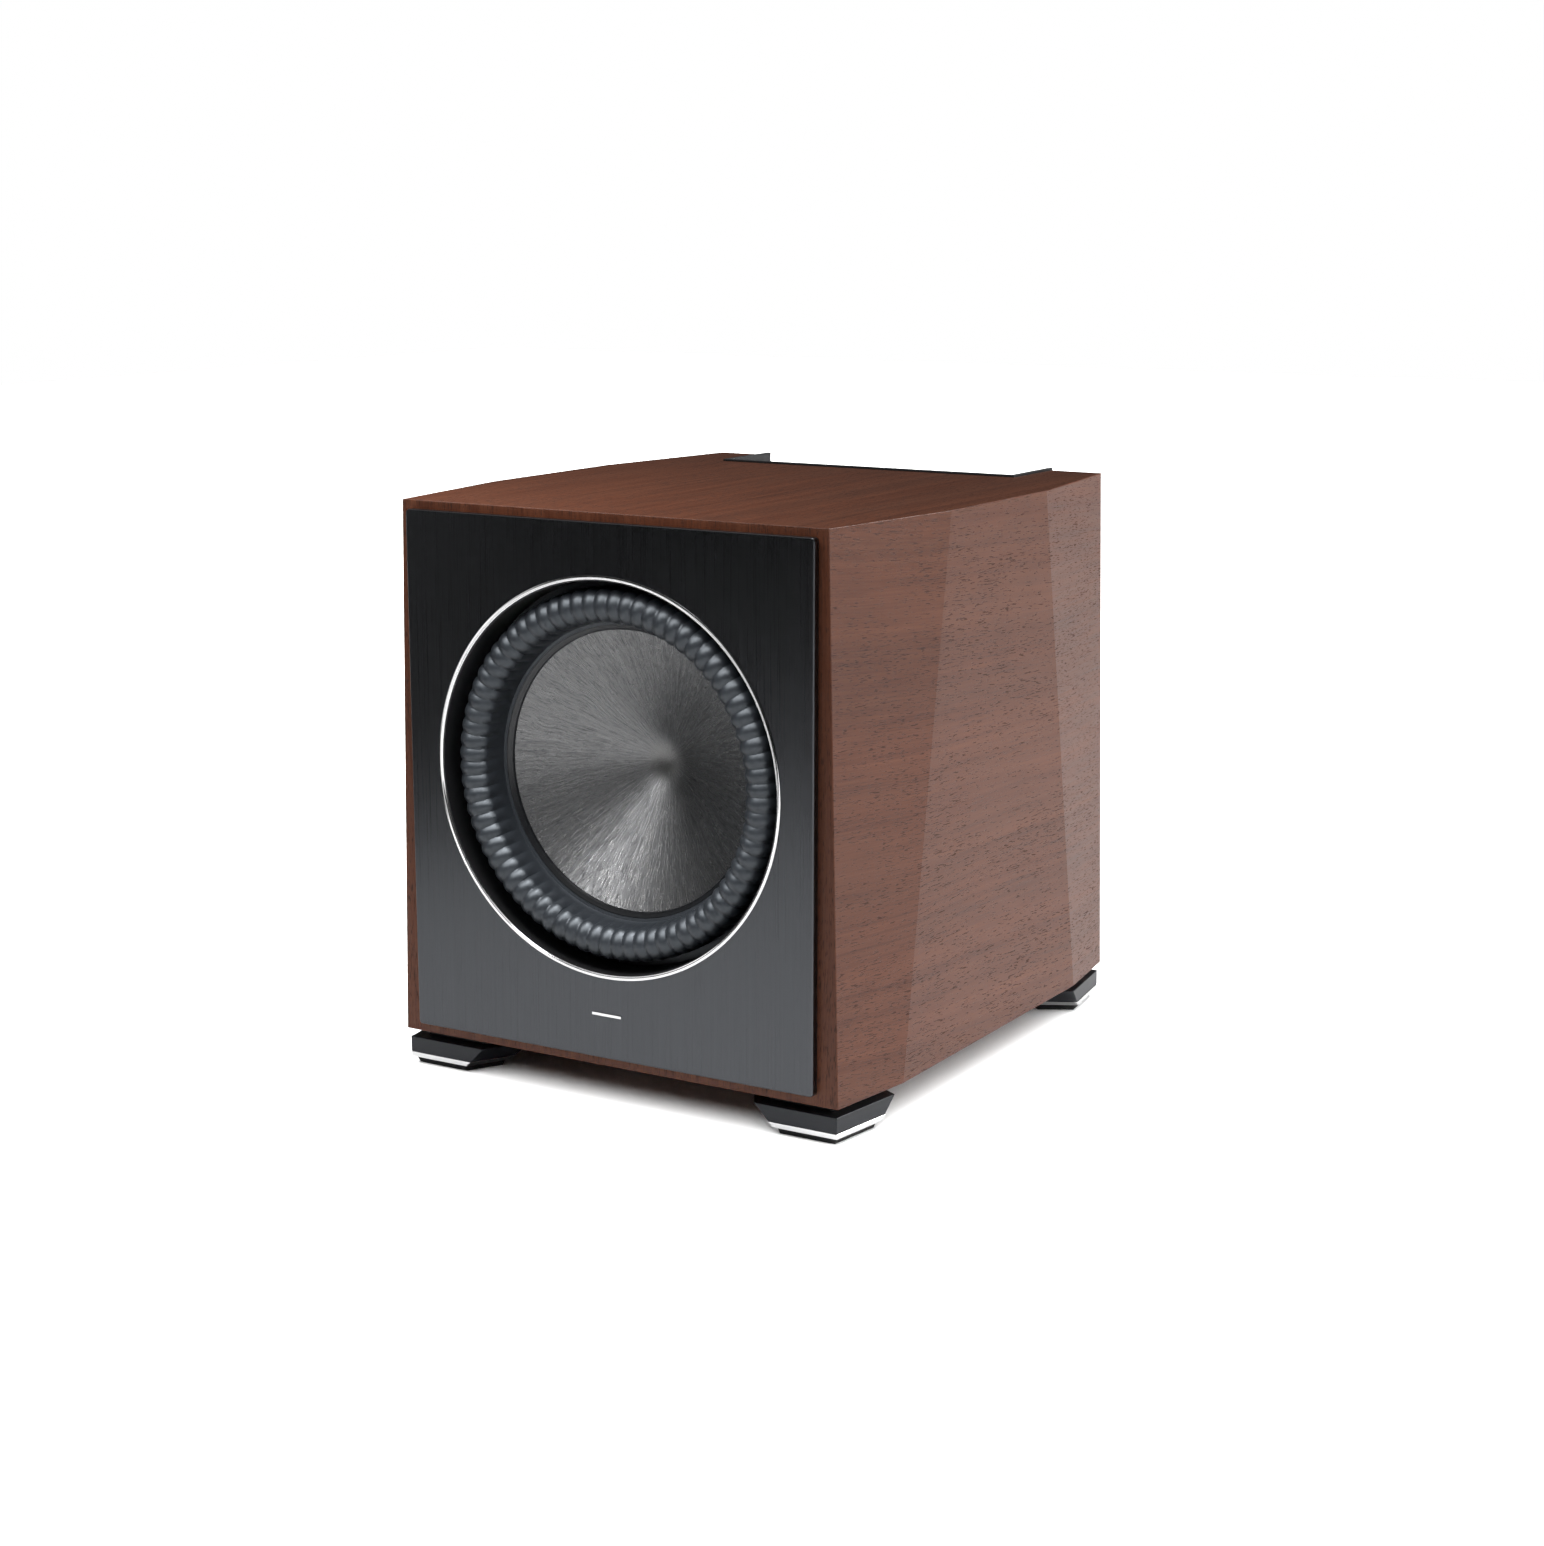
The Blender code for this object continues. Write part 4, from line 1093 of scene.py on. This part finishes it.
def rear():
    """The amplifier bay: edges of its larger pieces, knobs with their marks, screws and the switch's nut."""
    softened("amp_housing", 0.0008, PLASTIC)
    softened("amp_panel", 0.0005, ALLOY)
    softened("heat_sink", 0.0004, ALLOY)
    softened("rocker_frame", 0.0005, PLASTIC)
    softened("mains_inlet", 0.0004, PLASTIC)
    softened("fuse_drawer", 0.0004, PLASTIC, "fuse_drawer")
    softened("power_rocker", 0.0005, PLASTIC, "power_rocker")
    for node in ("level_knob", "crossover_knob", "phase_knob"):
        knob(node)
        dial(node)

    spots = screw_spots(PANEL_SCREW_X, PANEL_SCREW_ROWS, PANEL_SCREW_ROWS[0], PANEL_SCREW_COLUMNS)
    screws("amp_panel_screws", spots, PANEL_FACE, 0.0030, ALLOY)
    low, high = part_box("amp_housing")
    half_width, bottom = high.x - HOUSING_SCREW_INSET, low.z + HOUSING_SCREW_INSET
    spots = screw_spots(half_width, HOUSING_SCREW_ROWS, bottom, HOUSING_SCREW_COLUMNS)
    screws("housing_screws", spots, high.y, 0.0027, ALLOY)

    low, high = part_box("auto_on_switch")
    pivot = high.z - 0.0027
    across, hole, thickness = 0.0125, 0.0046, 0.0016
    middle = (low.x + high.x) / 2
    hex_nut("toggle_nut", middle, pivot, across, hole, PANEL_FACE, PANEL_FACE + thickness, NICKEL)


# ---------------------------------------------------------------- stage, light and camera


def stage():
    """Three sheets of paper: what the camera sees, what lights the object from below, and what it mirrors."""
    back = [(FLOOR_SIDE, FLOOR_BACK), (-FLOOR_SIDE, FLOOR_BACK)]
    seen = sheet("studio_floor", [(-FLOOR_SIDE, -1.25), (FLOOR_SIDE, -1.25), *back], 0.0, "camera")
    notch = [(0.12, -1.2), (0.12, -0.42), (0.90, -0.42), (0.90, -1.2)]
    outline = [(-FLOOR_SIDE, -1.2), *notch, (FLOOR_SIDE, -1.2), *back]
    bounce = sheet("bounce_floor", outline, -0.001, "diffuse")
    outline = [(-0.69, -0.88), (-0.59, -1.25), (-0.25, -1.25), (0.05, -3.2), (FLOOR_SIDE, -3.2)]
    outline += [*back, (-FLOOR_SIDE, 0.1), (-1.3, 0.1)]
    mirrored = sheet("mirrored_floor", outline, -0.002, "glossy")
    return seen, bounce, mirrored


def sheet(name, corners, height, seen_by):
    """A level sheet of paper that only one kind of ray can see."""
    shape = bmesh.new()
    shape.faces.new(add_loop(shape, [(x, y, height) for x, y in corners]))
    mesh = bpy.data.meshes.new(name)
    shape.to_mesh(mesh)
    shape.free()
    r = Recipe(name, Roughness=0.9)
    mottle = r.noise(r.position, (3.0, 3.0, 3.0), 2.0)
    r.set("Base Color", r.ramp(mottle, (0.3, 0.86), (0.7, 0.88)))
    mesh.materials.append(r.material)
    made = bpy.data.objects.new(name, mesh)
    made.visible_camera = seen_by == "camera"
    made.visible_diffuse = seen_by == "diffuse"
    made.visible_glossy = seen_by == "glossy"
    made.visible_shadow = False
    bpy.context.scene.collection.objects.link(made)
    return made


def sky(name, energy, spread, tilt, lit=(), unlit=()):
    """Broad light from above."""
    light = bpy.data.lights.new(name, "SUN")
    light.energy = energy
    light.angle = math.radians(spread)
    made = bpy.data.objects.new(name, light)
    made.rotation_euler = (math.radians(tilt[0]), math.radians(tilt[1]), 0)
    bpy.context.scene.collection.objects.link(made)
    limit(made, lit, unlit)


def limit(light, lit, unlit=()):
    """Lets a light reach only the pieces in lit, or all but those in unlit."""
    if not lit and not unlit:
        return
    receivers = bpy.data.collections.new(light.name + "_receivers")
    for each in (*lit, *unlit):
        receivers.objects.link(each)
    light.light_linking.receiver_collection = receivers
    for entry in receivers.collection_objects:
        entry.light_linking.link_state = "EXCLUDE" if unlit else "INCLUDE"


def softbox(name, location, target, size, energy, lit=(), unlit=()):
    """A rectangular light; lit and unlit limit the pieces that catch it."""
    light = bpy.data.lights.new(name, "AREA")
    light.shape = "RECTANGLE"
    light.size, light.size_y = size
    light.energy = energy
    made = bpy.data.objects.new(name, light)
    made.location = location
    made.rotation_euler = (Vector(target) - Vector(location)).to_track_quat("-Z", "Y").to_euler()
    made.visible_camera = False
    bpy.context.scene.collection.objects.link(made)
    limit(made, lit, unlit)
    return made


def world():
    """White for the camera; for light and reflections a dome that darkens towards the horizon."""
    made = bpy.data.worlds.new("studio")
    bpy.context.scene.world = made
    made.use_nodes = True
    nodes, links = made.node_tree.nodes, made.node_tree.links
    background = nodes["Background"]
    direction = nodes.new("ShaderNodeTexCoord")
    split = nodes.new("ShaderNodeSeparateXYZ")
    links.new(direction.outputs["Generated"], split.inputs[0])
    height = nodes.new("ShaderNodeMapRange")
    height.inputs["From Min"].default_value = -1.0
    links.new(split.outputs["Z"], height.inputs[0])
    dome = nodes.new("ShaderNodeValToRGB")
    links.new(height.outputs[0], dome.inputs[0])
    stops = ((0.49, 0.01), (0.66, 0.03), (0.80, 0.30), (1.0, 0.60))
    while len(dome.color_ramp.elements) < len(stops):
        dome.color_ramp.elements.new(0.5)
    for element, (position, level) in zip(dome.color_ramp.elements, stops):
        element.position = position
        element.color = (level, level, level, 1)
    path = nodes.new("ShaderNodeLightPath")
    mixed = nodes.new("ShaderNodeMix")
    mixed.data_type = "RGBA"
    links.new(path.outputs["Is Camera Ray"], mixed.inputs[0])
    links.new(dome.outputs[0], mixed.inputs[6])
    mixed.inputs[7].default_value = (1, 1, 1, 1)
    links.new(mixed.outputs[2], background.inputs["Color"])


def camera():
    """The photograph's view."""
    data = bpy.data.cameras.new("camera")
    data.lens = 63.716
    made = bpy.data.objects.new("camera", data)
    made.location = (1.2015, -1.9959, 0.7194)
    made.rotation_euler = (math.radians(78.159), 0, math.radians(30.935))
    bpy.context.scene.collection.objects.link(made)
    bpy.context.scene.camera = made


def lights(sheets, top, front, plate, ring, ribs, shell):
    """Broad skies, three softboxes for the whole object, and smaller ones that reach a single piece."""
    seen, bounce, mirrored = sheets
    driver = (0, FRONT, DRIVER_Z)
    top_edge = (-0.05, FRONT, TOP)
    sky("overhead", 2.9, 24, (4, 3), unlit=[*sheets, top, front])
    sky("floor_sky", 11.0, 116, (0, 0), lit=[seen])
    sky("bounce_sky", 4.2, 24, (2, 3), lit=[bounce])
    sky("mirror_sky", 4.5, 24, (2, 3), lit=[mirrored])

    softbox("right_box", (2.3, 0.5, 0.95), (0.2, 0, 0.25), (1.4, 0.9), 31, unlit=[plate])
    softbox("far_left_box", (-3.0, -2.6, 0.45), driver, (1.2, 1.5), 3)
    edge_box = softbox("edge_box", (1.6, 1.5, 1.9), (0.2, 0, 0.4), (2.0, 1.0), 60, unlit=[top, plate])
    edge_box.visible_diffuse = False

    softbox("top_box", (-0.22, -0.44, 0.88), (0, -0.15, TOP), (0.6, 0.3), 5.6, [top])
    softbox("strip_box", (-0.10, -0.55, 0.80), top_edge, (0.8, 0.2), 2.6, [front])
    softbox("ring_box", (-0.36, -0.77, 0.14), driver, (0.55, 0.55), 0.75, [ring])
    softbox("rib_box", (0.30, -0.85, 1.70), driver, (4.4, 1.3), 132, ribs)
    softbox("cone_box", (-0.68, -2.10, 1.42), driver, (0.12, 0.50), 9, [shell])
    softbox("cone_front_fill", (0.40, -2.20, 0.75), driver, (0.9, 0.7), 1.2, [shell])
    softbox("cone_fill", (-1.2, -1.6, 1.5), driver, (1.0, 0.8), 2.6, [shell])


# ---------------------------------------------------------------- the whole scene

bpy.context.scene.view_settings.view_transform = "Standard"
camera()
world()
sheets = stage()
repaint_frame()
top, front = cabinet()
plate = baffle()
ring = trim_ring()
opening_liner()
badge_bar()
ribs = surround()
shell = cone()
spider()
feet()
rear()
lights(sheets, top, front, plate, ring, ribs, shell)
